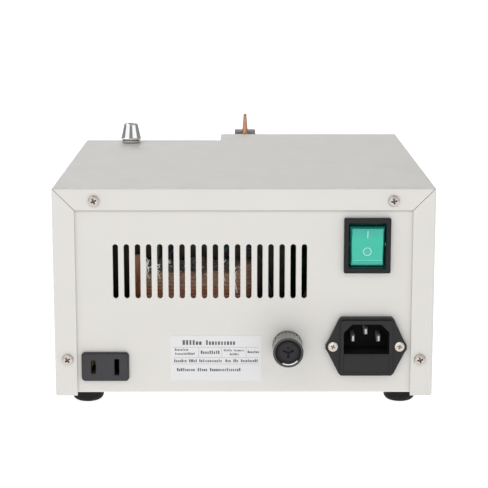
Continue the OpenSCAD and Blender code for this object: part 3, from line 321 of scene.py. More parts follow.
def board():
    """Green solder mask with the copper tracks showing faintly through it."""
    p = Paint("circuit_board", (0.02, 0.16, 0.07), 0.3, Coat_Weight=0.3)
    tracks = p.texture("ShaderNodeTexBrick", 160).outputs["Fac"]
    p.tint(p.noise(200), 0.15).over(p.ramp(tracks, 0, 1, 0, 0.35), (0.05, 0.30, 0.12))
    return p.sheen(p.noise(400), 0.05).relief(tracks, 0.03).done()


def green_rocker():
    """Clear green moulding with the fine prisms of its underside showing through, a painted highlight on its
    chamfer and painted shade on its flanks.
    """
    p = Paint("green_rocker", (0.017, 0.49, 0.355), 0.20, Coat_Weight=0.4, Coat_Roughness=0.08,
              Subsurface_Weight=0.15, Subsurface_Scale=0.003)
    prisms = p.bands(620, "X")
    centre = middle("switch_rocker")
    # the prisms vary the colour, and the green is darker towards the rocker's top
    p.tint(prisms, 0.07).over(p.along("Z", centre.z + 4, centre.z + 13), (0.022, 0.34, 0.26))
    chamfer = low("switch_rocker").z + 3.3
    # painted highlight: paler green on the chamfer at the rocker's lower end, as if lit from below
    p.over(p.along("Z", chamfer, chamfer - 0.3), (0.12, 0.70, 0.57))
    # painted shade: darker green on both flanks
    for side in (-1, 1):
        edge = centre.x + side * ROCKER_HALF
        p.over(p.along("X", edge, edge + side * 0.5), (0.026, 0.33, 0.27))
    return p.sheen(p.noise(300), 0.04).relief(prisms, 0.01).done()


def phenolic():
    """Brown laminate with the weave of its cloth."""
    p = Paint("phenolic", (0.060, 0.034, 0.022), 0.38, Coat_Weight=0.2)
    weave = p.texture("ShaderNodeTexBrick", 900).outputs["Fac"]
    p.tint(p.noise(160), 0.25).sheen(p.noise(300), 0.06)
    return p.relief(weave, 0.01).done()


def clear(name, color, rough, **sockets):
    """Glass or clear plastic, slightly uneven."""
    p = Paint(name, color, rough, **sockets)
    return p.tint(p.noise(200), 0.03).sheen(p.noise(400), 0.02).relief(p.noise(150), 0.02).done()


def floor_white():
    """Pale floor that glows enough to melt into the studio's background."""
    p = Paint("floor", (0.35, 0.35, 0.35), 0.6, Emission_Color=(1, 1, 1, 1), Emission_Strength=0.93)
    return p.tint(p.noise(3), 0.01).sheen(p.noise(6), 0.05).relief(p.noise(900), 0.02).done()


def socket_black():
    """Black moulding, glossier outside than deep in the inlet's mouth, where its colour darkens as painted
    shade.
    """
    p = Paint("socket_black", BLACK_MOULDING, 0.42, Specular_IOR_Level=0.32)
    inside = high("inlet_body").y - 2.5
    # painted shade: the colour darkens deep in the inlet's mouth
    p.tint(p.noise(120), 0.12).over(p.along("Y", inside, inside - 3), (0.0045, 0.0042, 0.0046))
    p.links.new(p.ramp(p.along("Y", inside, inside - 3), 0, 1, 0.42, 0.85), p.shader.inputs["Roughness"])
    return p.relief(p.noise(2600, detail=1.0), 0.012).done()


def switch_black():
    """Black moulding that takes a green cast deep in the mouth, from light through the rocker."""
    p = Paint("switch_black", (0.0095, 0.0085, 0.0095), 0.42, Specular_IOR_Level=0.26)
    inside = high("switch_housing").y - 1.2
    p.tint(p.noise(120), 0.12).over(p.along("Y", inside, inside - 1.5), (0.030, 0.26, 0.23))
    return p.sheen(p.noise(260), 0.07).relief(p.noise(2600, detail=1.0), 0.012).done()


MATERIALS = {
    "painted_steel": coated("painted_steel", CASE_PAINT, CASE_GLOSS, 1300, 0.014),
    "label_film": coated("label_film", (0.730, 0.727, 0.737), 0.40, 2500, 0.006),
    "nickel_screw": turned("nickel_screw", (0.60, 0.55, 0.50), 0.38, (1, 5, 1), 1200),
    "black_rubber": moulded("black_rubber", (0.009, 0.0085, 0.009), 0.62, 1500, Specular_IOR_Level=0.18),
    "black_plastic": moulded("black_plastic", BLACK_MOULDING, 0.42, Specular_IOR_Level=0.32),
    "green_rocker": green_rocker(),
    "contact_metal": turned("contact_metal", (0.60, 0.59, 0.56), 0.42, (1, 8, 1), Metallic=0.4),
    "fuse_glass": clear("fuse_glass", (0.92, 0.95, 0.95), 0.06, Transmission_Weight=0.9, IOR=1.5),
    "grey_plastic": moulded("grey_plastic", (0.038, 0.036, 0.040), 0.44, Specular_IOR_Level=0.32),
    "brass": turned("brass", (0.78, 0.57, 0.26), 0.27, (1, 1, 6)),
    "bright_chrome": turned("bright_chrome", (0.94, 0.94, 0.95), 0.07, (1, 1, 8), 600, 0.03, 0.001),
    "plated_steel": turned("plated_steel", (0.33, 0.33, 0.335), 0.34, (6, 1, 1)),
    "control_film": coated("control_film", (0.055, 0.090, 0.145), 0.34, 2000, 0.008),
    "red_lens": clear("red_lens", (0.30, 0.012, 0.012), 0.10, Transmission_Weight=0.75, IOR=1.49),
    "black_dial": moulded("black_dial", (0.016, 0.016, 0.018), 0.34, 2200),
    "red_cap": moulded("red_cap", (0.48, 0.020, 0.014), 0.24, 900, Coat_Weight=0.4),
    "white_cap": moulded("white_cap", (0.68, 0.67, 0.63), 0.28, 900, Coat_Weight=0.3),
    "led_lens": clear("led_lens", (0.06, 0.50, 0.14), 0.16, Transmission_Weight=0.35),
    "wire_sleeve": moulded("wire_sleeve", (0.020, 0.026, 0.052), 0.35, 1200, Coat_Weight=0.2),
    "circuit_board": board(),
    "phenolic": phenolic(),
    "nylon": moulded("nylon", (0.72, 0.69, 0.60), 0.36, 900),
    "copper": copper_rod(),
    "winding": winding(),
    "core_steel": laminated(),
    "sink_aluminium": turned("sink_aluminium", (0.62, 0.62, 0.64), 0.34, (1, 8, 1)),
}
WHITE_INK = coated("white_ink", (0.80, 0.80, 0.78), 0.4, 2500, 0.004)
CAP_BLACK = moulded("cap_black", (0.013, 0.011, 0.014), 0.34, Specular_IOR_Level=0.3)
RING_BLACK = moulded("ring_black", (0.005, 0.005, 0.005), 0.36, Specular_IOR_Level=0.14)
GLOSS_BLACK = moulded("gloss_black", (0.011, 0.011, 0.011), 0.16, Coat_Weight=0.7, Coat_Roughness=0.1)
# painted shade for the crease along the rocker's chamfer
CREASE_SHADE_GREEN = coated("crease_shade_green", (0.010, 0.16, 0.12), 0.4, 2500, 0.004)
PALE_GREEN_INK = coated("pale_green_ink", (0.50, 0.74, 0.68), 0.4, 2500, 0.004)
GREY_INK = coated("grey_ink", (0.095, 0.095, 0.105), 0.5, 2500, 0.004)
PALE_INK = coated("pale_ink", (0.42, 0.42, 0.45), 0.5, 2500, 0.004)
DULL_CHROME = turned("dull_chrome", (0.62, 0.61, 0.60), 0.14, (1, 1, 8), 600, 0.03, 0.001)
# painted shade: cross recesses and the knob's groove get a darker metal
SHADED_RECESS = turned("screw_recess", (0.24, 0.20, 0.18), 0.5)
# painted shade: the slots and dot in the fuse cap are a darker black
SHADED_SLOT_BLACK = moulded("shaded_slot_black", (0.006, 0.006, 0.006), 0.7)
# painted glints: the lacing cotton glows faintly, as if catching the light
GLOWING_COTTON = moulded("lacing_cotton", (0.88, 0.87, 0.84), 0.6, 1800, Emission_Color=(1, 1, 0.98, 1),
                 Emission_Strength=0.28)
BROWN_SLEEVE = moulded("brown_sleeve", (0.12, 0.045, 0.022), 0.35, 1200, Coat_Weight=0.2)
EARTH_SLEEVE = moulded("earth_sleeve", (0.10, 0.30, 0.05), 0.35, 1200, Coat_Weight=0.2)
TEAL_SLEEVE = moulded("teal_sleeve", (0.020, 0.085, 0.105), 0.35, 1200, Coat_Weight=0.2)
GREEN_SLEEVE = moulded("green_sleeve", (0.018, 0.085, 0.035), 0.35, 1200, Coat_Weight=0.2)
SOLDER = turned("solder", (0.62, 0.62, 0.62), 0.3)
BROWN_TAPE = moulded("brown_tape", (0.62, 0.24, 0.10), 0.30, 700, Coat_Weight=0.4)
CLEAR_FILM = clear("clear_film", (0.22, 0.225, 0.235), 0.10, Transmission_Weight=0.55, Coat_Weight=1.0)
SEGMENT = clear("display_segment", (0.75, 0.03, 0.02), 0.4, Emission_Color=(1, 0.04, 0.02, 1),
                Emission_Strength=0.7)


# ---- how each mesh is finished ----

def smooth_edges():
    """Geometry nodes that shade faces smooth and keep the edges over SHARP_ANGLE sharp."""
    group = bpy.data.node_groups.new("smooth_edges", "GeometryNodeTree")
    group.interface.new_socket(name="Geometry", in_out="INPUT", socket_type="NodeSocketGeometry")
    group.interface.new_socket(name="Geometry", in_out="OUTPUT", socket_type="NodeSocketGeometry")
    source = group.nodes.new("NodeGroupInput")
    faces = group.nodes.new("GeometryNodeSetShadeSmooth")
    edges = group.nodes.new("GeometryNodeSetShadeSmooth")
    edges.domain = "EDGE"
    edges.inputs["Shade Smooth"].default_value = False
    angle = group.nodes.new("GeometryNodeInputMeshEdgeAngle")
    over = group.nodes.new("FunctionNodeCompare")
    over.operation = "GREATER_THAN"
    over.inputs[1].default_value = SHARP_ANGLE
    target = group.nodes.new("NodeGroupOutput")
    group.links.new(source.outputs[0], faces.inputs["Geometry"])
    group.links.new(faces.outputs[0], edges.inputs["Geometry"])
    group.links.new(angle.outputs["Unsigned Angle"], over.inputs[0])
    group.links.new(over.outputs[0], edges.inputs["Selection"])
    group.links.new(edges.outputs[0], target.inputs[0])
    return group


SMOOTH = smooth_edges()


def soften(obj, edge, segments=2, dissolve=True):
    """Rounds every sharp edge to that radius in millimetres, and shades the rest smooth."""
    imported = obj.data.attributes.get("custom_normal")
    if imported:
        obj.data.attributes.remove(imported)
    weld = obj.modifiers.new("weld", "WELD")
    weld.merge_threshold = 0.003 * MM
    if dissolve:
        flat = obj.modifiers.new("flat", "DECIMATE")
        flat.decimate_type = "DISSOLVE"
        flat.angle_limit = math.radians(0.4)
    if edge:
        bevel = obj.modifiers.new("bevel", "BEVEL")
        bevel.width = edge * MM
        bevel.segments = segments
        bevel.limit_method = "ANGLE"
        bevel.angle_limit = SHARP_ANGLE
        bevel.use_clamp_overlap = False
        bevel.miter_outer = "MITER_ARC"
    smooth = obj.modifiers.new("smooth", "NODES")
    smooth.node_group = SMOOTH
    weighted = obj.modifiers.new("weighted", "WEIGHTED_NORMAL")
    weighted.keep_sharp = True
    weighted.weight = 80


# ---- shapes: each gives its points and its faces ----

def rounded(corners, closed=True):
    """Polygon or line with its corners rounded. A corner is (x, y) or (x, y, radius)."""
    out = []
    steps = 5
    for i, corner in enumerate(corners):
        p = Vector(corner[:2])
        if len(corner) < 3 or (not closed and i in (0, len(corners) - 1)):
            out.append(p)
            continue
        a = (Vector(corners[i - 1][:2]) - p).normalized()
        b = (Vector(corners[(i + 1) % len(corners)][:2]) - p).normalized()
        half = a.angle(b) / 2
        centre = p + (a + b).normalized() * (corner[2] / math.sin(half))
        reach = corner[2] / math.tan(half)
        start, end = p + a * reach - centre, p + b * reach - centre
        first = math.atan2(start.y, start.x)
        turn = (math.atan2(end.y, end.x) - first + math.pi) % (2 * math.pi) - math.pi
        for k in range(steps + 1):
            angle = first + turn * k / steps
            out.append(centre + Vector((math.cos(angle), math.sin(angle))) * corner[2])
    return out


def rectangle(w, h, r=0.0, x=0.0, y=0.0):
    corners = [(x - w / 2, y - h / 2), (x + w / 2, y - h / 2), (x + w / 2, y + h / 2), (x - w / 2, y + h / 2)]
    return rounded([(*c, r) for c in corners]) if r else [Vector(c) for c in corners]


def circle(r, x=0.0, y=0.0, sides=48):
    angles = [2 * math.pi * i / sides for i in range(sides)]
    return [Vector((x + r * math.cos(a), y + r * math.sin(a))) for a in angles]


def lathe(profile, sides=64):
    """Turned solid from (radius, height) points that start and end on the axis."""
    points, rings, faces = [], [], []
    for r, z in profile:
        if r < 1e-6:
            rings.append([len(points)] * sides)
            points.append((0, 0, z))
        else:
            rings.append(range(len(points), len(points) + sides))
            points += [(*p, z) for p in circle(r, sides=sides)]
    for a, b in zip(rings, rings[1:]):
        for i in range(sides):
            j = (i + 1) % sides
            face = list(dict.fromkeys((a[i], a[j], b[j], b[i])))
            if len(face) > 2:
                faces.append(face)
    return points, faces


def loft(rings, closed=False):
    """Skin over rings of points, with capped ends unless the last ring joins the first."""
    n, rows = len(rings[0]), len(rings)
    faces = [[a * n + i, a * n + (i + 1) % n, (a + 1) % rows * n + (i + 1) % n, (a + 1) % rows * n + i]
             for a in range(rows if closed else rows - 1) for i in range(n)]
    if not closed:
        faces += [list(range(n))[::-1], list(range((rows - 1) * n, rows * n))]
    return [p for ring in rings for p in ring], faces


def prism(outline, bottom, top):
    """Upright solid on an outline, between two heights."""
    return loft([[(p[0], p[1], z) for p in outline] for z in (bottom, top)])


def frame_strip(outer, inner, bottom, top):
    """Flat ring between two outlines that have the same number of points."""
    lines = (outer, bottom), (outer, top), (inner, top), (inner, bottom)
    return loft([[(p[0], p[1], z) for p in line] for line, z in lines], closed=True)


def arc_band(inner, outer, start, end, bottom, top):
    """Part of a flat ring, between two angles in degrees."""
    steps = 24
    angles = [math.radians(start + (end - start) * i / steps) for i in range(steps + 1)]
    line = [(outer * math.cos(a), outer * math.sin(a)) for a in angles]
    line += [(inner * math.cos(a), inner * math.sin(a)) for a in reversed(angles)]
    return prism(line, bottom, top)


def curve(controls):
    """Smooth line through the control points."""
    p = [Vector(c) for c in controls]
    p = [2 * p[0] - p[1], *p, 2 * p[-1] - p[-2]]
    out = []
    for i in range(1, len(p) - 2):
        for k in range(CURVE_STEPS):
            t = k / CURVE_STEPS
            a, b, c, d = p[i - 1:i + 3]
            out.append(0.5 * (2 * b + (c - a) * t + (2 * a - 5 * b + 4 * c - d) * t * t
                              + (3 * b - a - 3 * c + d) * t ** 3))
    return out + [p[-2]]


def tube(path, r, sides=10, closed=False):
    """Round tube along a line, with capped ends unless the line is closed."""
    path = [Vector(p) for p in path]
    n = len(path)
    normal, rings = None, []
    for i, p in enumerate(path):
        after = path[(i + 1) % n] if closed or i < n - 1 else p
        before = path[i - 1] if closed or i else p
        forward = (after - before).normalized()
        normal = normal or forward.orthogonal()
        normal = (normal - forward * normal.dot(forward)).normalized()
        side = forward.cross(normal)
        rings.append([p + normal * q.x + side * q.y for q in circle(r, sides=sides)])
    return loft(rings, closed)


def thread(r, depth, pitch, bottom, top, sides=36):
    """Threaded rod with one helical ridge and a chamfered top."""
    rows = int((top - bottom) / pitch * 6)
    rings = []
    for i in range(rows + 1):
        z = bottom + (top - bottom) * i / rows
        taper = min(1.0, (top - z) / 0.8)
        ring = []
        for k, p in enumerate(circle(1, sides=sides)):
            wave = abs(((z / pitch - k / sides) % 1) * 2 - 1)
            radius = min(r - depth * wave, r - depth - 0.1 + (depth + 0.1) * taper)
            ring.append((radius * p.x, radius * p.y, z))
        rings.append(ring)
    return loft(rings)


def moved(shape, matrix):
    points, faces = shape
    return [matrix @ Vector(p) for p in points], faces


def shifted(shape, x=0.0, y=0.0, z=0.0):
    return moved(shape, Matrix.Translation((x, y, z)))


def piece(name, parts, body, matrix=None, stands_for=(), edge=0.0, segments=2):
    """One object from (shape, material) pairs that are in millimetres in the frame of "matrix"."""
    matrix = matrix or Matrix.Identity(4)
    points, faces, kinds, used = [], [], [], []
    for (shape_points, shape_faces), material in parts:
        if material not in used:
            used.append(material)
        start = len(points)
        points += [(matrix @ Vector(p)) * MM for p in shape_points]
        faces += [[start + i for i in face] for face in shape_faces]
        kinds += [used.index(material)] * len(shape_faces)
    mesh = bpy.data.meshes.new(name)
    mesh.from_pydata(points, [], faces)
    for material in used:
        mesh.materials.append(material)
    for polygon, kind in zip(mesh.polygons, kinds):
        polygon.material_index = kind
    mesh.validate()
    obj = bpy.data.objects.new(name, mesh)
    scene.collection.objects.link(obj)
    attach(obj, body)
    if stands_for:
        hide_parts(*stands_for)
    soften(obj, edge, segments, dissolve=False)
    return obj


def cut(obj, parts, matrix, material):
    """Cuts the shapes out of the object's mesh, and gives the cut faces the material."""
    tool = piece("cutter", [(shape, material) for shape in parts], "case", matrix)
    tool.modifiers.clear()
    obj.modifiers.clear()
    knife = obj.modifiers.new("cut", "BOOLEAN")
    knife.object = tool
    knife.solver = "EXACT"
    knife.use_self = True
    knife.material_mode = "TRANSFER"
    bpy.context.view_layer.update()
    made = bpy.data.meshes.new_from_object(obj.evaluated_get(bpy.context.evaluated_depsgraph_get()))
    obj.modifiers.clear()
    obj.data = made
    bpy.data.objects.remove(tool)


# ---- CAD nodes that stay: rounded edges and their materials ----

# radius of the rounded edges for each material slot, then for single nodes
EDGES = {"painted_steel": 0.12, "black_plastic": 0.25, "grey_plastic": 0.25, "black_rubber": 0.3,
         "brass": 0.3, "plated_steel": 0.2, "phenolic": 0.3, "white_cap": 0.3, "red_cap": 0.3,
         "black_dial": 0.2, "contact_metal": 0.15, "sink_aluminium": 0.2, "nylon": 0.2}
OWN_EDGE = {"fuse_holder_body": 0.06, "outlet_contacts": 0.12, "pulse_knob": 0.06, "current_knob": 0.06,
            "base_chassis": 0}
OWN_MATERIAL = {"base_chassis": panel_steel_flange_shadow(), "fuse_holder_body": GLOSS_BLACK,
                "inlet_body": socket_black(), "switch_housing": switch_black()}
# a pierced panel keeps all its faces, since dissolving them bridges the cut-outs
PIERCED = ("base_chassis", "fuse_holder_body", "control_overlay")
NO_EDGE = ("inlet_body", "inlet_fuse_drawer", "top_cover", "pressure_spring", "flexible_link",
           "board_standoffs", "pot_nuts", "control_board")

for node, obj in frame["nodes"].items():
    obj.data.materials.clear()
    obj.data.materials.append(OWN_MATERIAL.get(node, MATERIALS[SLOT_OF[node]]))
    for polygon in obj.data.polygons:
        polygon.material_index = 0
    edge = 0 if node in NO_EDGE else OWN_EDGE.get(node, EDGES.get(SLOT_OF[node], 0))
    soften(obj, edge, dissolve=node not in PIERCED)


# ---- screws ----

def cross_cutter(size, depth):
    """Tapered cross recess that goes down from z = 0."""
    half, arm = size / 2, size / 7
    out = []
    for turn in (0, math.pi / 2):
        top, bottom = rectangle(2 * half, 2 * arm), rectangle(1.1 * half, 1.2 * arm)
        shape = loft([[(*p, -depth) for p in bottom], [(*p, 0.3) for p in top]])
        out.append(moved(shape, Matrix.Rotation(turn, 4, "Z")))
    return out


def screw(name, at, r, h, turn, flat=False, stands_for=()):
    """Domed or countersunk screw head with a cross recess, resting on z = 0 of "at"."""
    if flat:
        profile = [(0, -1.0), (r * 0.6, -1.0), (r, -0.15), (r, 0), (r * 0.95, h * 0.6), (r * 0.5, h), (0, h)]
    else:
        dome = [(r * math.cos(a) ** 0.8, h * (0.35 + 0.65 * math.sin(a)))
                for a in (math.radians(x) for x in (0, 15, 30, 45, 60, 72, 82))]
        profile = [(0, 0), (r * 0.96, 0), (r, h * 0.12), *dome, (0, h)]
    at = at @ Matrix.Rotation(turn, 4, "Z")
    head = [(lathe(profile, 48), MATERIALS["nickel_screw"])]
    obj = piece(name, head, "case", at, stands_for)
    deep = at @ Matrix.Translation((0, 0, h))
    # the cut recess gets a darker metal as painted shade
    cut(obj, cross_cutter(r * 1.15, h * 0.75), deep, SHADED_RECESS)
    soften(obj, 0.05, dissolve=False)
    return obj


PAN_R, PAN_H = 3.1, 2.0
random.seed(4)
for i, (x, height) in enumerate(((80.3, 108), (-80.3, 108), (96, 20.4), (-96, 20.4))):
    at = place(REAR, x, FLANGE_Y, BASE_Z + height)
    screw(f"cover_screw_{i}", at, PAN_R, PAN_H, random.uniform(0, 1.5),
          stands_for=["cover_screws"] if i == 0 else ())
for i, side in enumerate((1, -1)):
    turned_out = Matrix(((0, 0, side), (side, 0, 0), (0, 1, 0)))
    at = place(turned_out, side * high("top_cover").x, FLANGE_Y - 172, BASE_Z + 9)
    screw(f"side_screw_{i}", at, PAN_R, PAN_H, random.uniform(0, 1.5))
INLET = on_rear(-66.6, 27.9)
for i, side in enumerate((1, -1)):
    at = INLET @ Matrix.Translation((side * 18.1, 0, 3.0))
    screw(f"inlet_screw_{i}", at, 2.75, 0.45, random.uniform(0, 1.5), flat=True,
          stands_for=["inlet_screws"] if i == 0 else ())


# ---- mains switch ----

ROCKER = on_rear(-66.5, 83.6) @ Matrix.Translation((0, 0, -3.2)) @ Matrix.Rotation(math.radians(8), 4, "X")
ALONG_PIVOT = Matrix(((0, 0, 1, 0), (1, 0, 0, 0), (0, 1, 0, 0), (0, 0, 0, 1)))
CHAMFER_Y = -8.0
PIN_R, PIN_LENGTH = 1.45, 1.2


def rocker_height(y):
    """Height of the rocker's slightly hollow face above its pivot, with a chamfer at the lower end."""
    if y < CHAMFER_Y:
        return 5.9 + (y - CHAMFER_Y) * 0.61
    return 5.0 + (0.0141 * y * y if y < 0 else 0.0130 * y * y)


def rocker_section(y):
    """The rocker cut across at y: a face on two slanted flanks and a wider skirt."""
    top, skirt_top, skirt = rocker_height(y), 2.2, 9.55
    half = ROCKER_HALF + max(0.0, 5.6 - top) * 0.41
    bottom = -4 + max(0.0, abs(y) - 7) * (1.3 if y < 0 else 1.55)
    line = [(-skirt, bottom), (skirt, bottom), (skirt, skirt_top),
            (half, top), (-half, top), (-skirt, skirt_top)]
    return [(x, y, z) for x, z in line]


stations = [-10.75, -9.4, CHAMFER_Y, -7, -5.1, -3.4, -1.7, 0, 1.7, 3.4, 5.1, 7, 8.6, 10, 10.75]
body = loft([rocker_section(y) for y in stations])
pins = [moved(lathe([(0, x), (PIN_R, x), (PIN_R, x + PIN_LENGTH), (0, x + PIN_LENGTH)], 24), ALONG_PIVOT)
        for x in (-10.7, 9.5)]
piece("rocker", [(shape, MATERIALS["green_rocker"]) for shape in (body, *pins)],
      "mains_rocker", ROCKER, ["switch_rocker"], edge=0.3, segments=3)


def on_rocker(outer, inner=None):
    """Thin mark that follows the rocker's face."""
    shape = frame_strip(outer, inner, 0, 0.05) if inner else prism(outer, 0, 0.05)
    return [(p[0], p[1], p[2] + rocker_height(p[1]) + 0.005) for p in shape[0]], shape[1]


# painted shade: a dark green line along the crease where the rocker's face meets its chamfer
shaded_groove = rectangle(15.8, 0.32, y=CHAMFER_Y)
stroke = [Vector(p) for p in ((-0.2, 5.1), (0.2, 5.1), (0.2, 7.3), (0.2, 9.5), (-0.2, 9.5), (-0.2, 7.3))]
piece("rocker_marks", [(on_rocker(stroke), PALE_GREEN_INK), (on_rocker(shaded_groove), CREASE_SHADE_GREEN),
                       (on_rocker(circle(2.3, y=-2.55), circle(1.9, y=-2.55)), PALE_GREEN_INK)],
      "mains_rocker", ROCKER)


# ---- panel fuse ----

FUSE = on_rear(-23.8, 28.2)
face = high("fuse_cap").y - REAR_Y
cap_profile = rounded([(0, face - 2.5), (5.5, face - 2.5, 0.2), (5.5, face, 0.25), (5.15, face, 0.1),
                       (5.0, face - 0.45, 0.15), (0, face - 0.45)], closed=False)
cap = piece("fuse_cap_face", [(lathe(cap_profile), CAP_BLACK)], "fuse_holder_cap", FUSE,
            ["fuse_cap"])
slots = [prism(rectangle(w, 1.15), face - 1.6, face + 1) for w in (3.2, 3.2, 3.0)]
turns = (math.radians(158), math.radians(22), math.radians(-90))
slots = [moved(shifted(slot, x=1.5), Matrix.Rotation(turn, 4, "Z")) for slot, turn in zip(slots, turns)]
# the slots and dot are cut in a darker black as painted shade
cut(cap, [*slots, prism(circle(0.6, y=2.4, sides=16), face - 1.0, face + 1)], FUSE, SHADED_SLOT_BLACK)
soften(cap, 0.1, dissolve=False)
ring = frame_strip(circle(7.05, sides=64), circle(5.65, sides=64), face - 0.02, face + 0.006)
# painted highlight: the pale arc on the ring's lower part, drawn in white ink
piece("fuse_ring", [(ring, RING_BLACK), (arc_band(6.35, 6.95, 243, 318, face, face + 0.012), WHITE_INK)],
      "case", FUSE)


# ---- rating label: generic lines in place of its text ----

PAPER = 0.15
INK = 0.02
marks = []


def block(w, h, x, y, material):
    marks.append((prism(rectangle(w, h, x=x, y=y), PAPER, PAPER + INK), material))


def words(x, y, widths, h):
    """Runs of small blocks that stand for the letters of words, from x to the right."""
    for w in widths:
        count = max(2, round(w / (h * 0.62)))
        step = w / count
        for i in range(count):
            tall = h if i == 0 or random.random() < 0.3 else h * 0.72
            block(step * random.uniform(0.5, 0.78), tall, x + (i + 0.5) * step, y - (h - tall) / 2, GREY_INK)
        x += w + h * 0.7


for y in (6.2, 0.4, -3.2):
    block(46.6, 0.22, 0, y, PALE_INK)
for x in (-9.4, 3.2, 16.4):
    block(0.22, 5.8, x, 3.3, PALE_INK)
for x, y, widths, h in ((-18.4, 8.9, (10.8, 16.4), 2.7), (-22.5, 4.9, (7.5,), 1.3), (-22.5, 2.6, (11,), 1.3),
                        (-8.4, 3.4, (10.5,), 1.9), (4.2, 4.5, (4.6, 5.6), 1.2), (7.5, 2.3, (5.0,), 1.2),
                        (17.2, 3.6, (6.4,), 1.4), (-23, -1.4, (7, 4.5, 12.5), 1.6),
                        (5.0, -1.4, (3.2, 3.0, 9.5), 1.6), (-21.5, -6.4, (10, 5.5, 17), 1.8)):
    words(x, y, widths, h)
piece("label_print", marks, "case", on_rear(15.2, 20.7))


# ---- polished knob on the top ----

knob = middle("chrome_knob")
base = rounded([(0, 0.3), (5.7, 0.3, 0.15), (6.05, 0.9, 0.25), (6.05, 1.6, 0.25), (5.5, 1.9, 0.15), (0, 1.9)],
               closed=False)
shaded_groove = [(0, 1.8), (5.45, 1.8), (5.45, 2.4), (0, 2.4)]
cone = rounded([(0, 2.3), (6.2, 2.3, 0.15), (6.6, 2.8, 0.25), (6.6, 3.3, 0.15), (6.35, 3.6, 0.1),
                (4.5, 11.8, 0.35), (3.95, 12.4, 0.3), (2.6, 12.4), (2.3, 12.2), (0, 12.2)], closed=False)
# the groove between base and cone gets a darker metal as painted shade
turned_parts = ((cone, MATERIALS["bright_chrome"]), (base, DULL_CHROME), (shaded_groove, SHADED_RECESS))
piece("cone_knob", [(lathe(profile, 96), material) for profile, material in turned_parts], "top_dial",
      Matrix.Translation((knob.x, knob.y, TOP_Z)), ["chrome_knob"])


# ---- transformer ----

coil_low, coil_high = low("transformer_coil"), high("transformer_coil")
coil_x = (coil_low.x + coil_high.x) / 2
coil_y = (coil_low.y + coil_high.y) / 2
wide, deep = coil_high.x - coil_low.x, coil_high.y - coil_low.y
TURN_PITCH = 2.1
TURN_R = 1.12
COIL_CORNER = 5
turns = []
for i in range(int((coil_high.z - coil_low.z) / TURN_PITCH)):
    inset = 1.15 + random.uniform(0, 0.2)
    z = coil_low.z + (i + 0.5) * TURN_PITCH + random.uniform(-0.08, 0.08)
    loop = rectangle(wide - 2 * inset, deep - 2 * inset, COIL_CORNER, coil_x, coil_y)
    turns.append((tube([(*p, z) for p in loop], TURN_R, 10, closed=True), MATERIALS["winding"]))
inner = rectangle(33, 51, 1, coil_x, coil_y)
outer = rectangle(wide - 2.9, deep - 2.9, COIL_CORNER, coil_x, coil_y)
turns.append((frame_strip(outer, inner, coil_low.z, coil_high.z - 0.3), MATERIALS["winding"]))
piece("coil_turns", turns, "case", None, ["transformer_coil"])


def at_coil(x, forward, drop):
    """Point near the coil's rear face: x from its middle, forward of that face, below its top."""
    return coil_x + x, coil_high.y - forward, coil_high.z - drop


# a brown taped lead at the winding's side, a small brown tab, and cotton lacing round its upper edge that
# glows faintly as painted glints
tape = prism(((27.4, 0.6), (33.2, 0.6), (33.2, -2), (27.4, -2)), coil_low.z + 2, coil_high.z + 6)
tab = prism(((-6.4, 0.9), (-3.2, 0.9), (-3.2, 0.3), (-6.4, 0.3)), coil_high.z - 0.5, coil_high.z + 4.8)
dressing = [(shifted(shape, coil_x, coil_high.y), material)
            for shape, material in ((tape, BROWN_TAPE), (tab, BROWN_SLEEVE))]
# each strand runs between two places, as (x, x, drop, drop) in at_coil's terms
lacing = ((24.7, 27.5, 7.5, -4.0), (27.4, 24.8, 6.2, -3.2), (24.9, 27.2, 2.2, -1.8), (26.8, 25.2, 7.2, 0.8),
          (25.3, 26.4, -1.0, -4.4), (18.7, 21.3, 7.6, -0.8), (21.4, 19.0, 6.8, 0.6), (18.9, 20.6, 3.4, -1.2),
          (27.5, 18.6, 1.2, -0.6), (12.7, 15.3, -1.4, -3.4), (-15.8, -18.3, 0.6, -3.2),
          (-18.2, -16.0, 8.8, 4.4), (-22.0, -24.6, 16.5, 3.2), (-24.7, -22.3, 15.6, 1.4),
          (-22.8, -24.3, 9.6, 0.8))
for x0, x1, low_end, high_end in lacing:
    bow = random.uniform(-0.9, 0.9)
    line = [at_coil(x0, -1.2, low_end), at_coil((x0 + x1) / 2 + bow, -2.6, (low_end * 2 + high_end) / 3),
            at_coil((x0 + x1) / 2 - bow, -2.6, (low_end + high_end * 2) / 3), at_coil(x1, -1.2, high_end)]
    dressing.append((tube(curve(line), 0.23, 8), GLOWING_COTTON))
piece("coil_lacing", dressing, "case")

# the clear wrap is one crumpled sheet that leans out over the winding's upper edge
rows, across = 14, 90
sheet = []
for j in range(rows + 1):
    v = j / rows
    for i in range(across + 1):
        u = i / across
        fold = 0.6 * math.sin(u * 71 + 2.2 * math.sin(v * 6)) + random.uniform(-0.4, 0.4)
        edge = 3.9 + 0.7 * math.sin(u * 23) - v * (6.4 + 1.3 * math.sin(u * 37 + 1))
        sheet.append(at_coil(27 - u * 52, -1.1 - fold + v * v * 3.4, edge + random.uniform(-0.3, 0.3)))
flaps = [[a, a + 1, a + across + 2, a + across + 1]
         for a in (j * (across + 1) + i for j in range(rows) for i in range(across))]
piece("coil_wrap", [((sheet, flaps), CLEAR_FILM)], "case")


# ---- internal wires: the same routes as the CAD model's, [x, forward of the rear flanges, height] ----

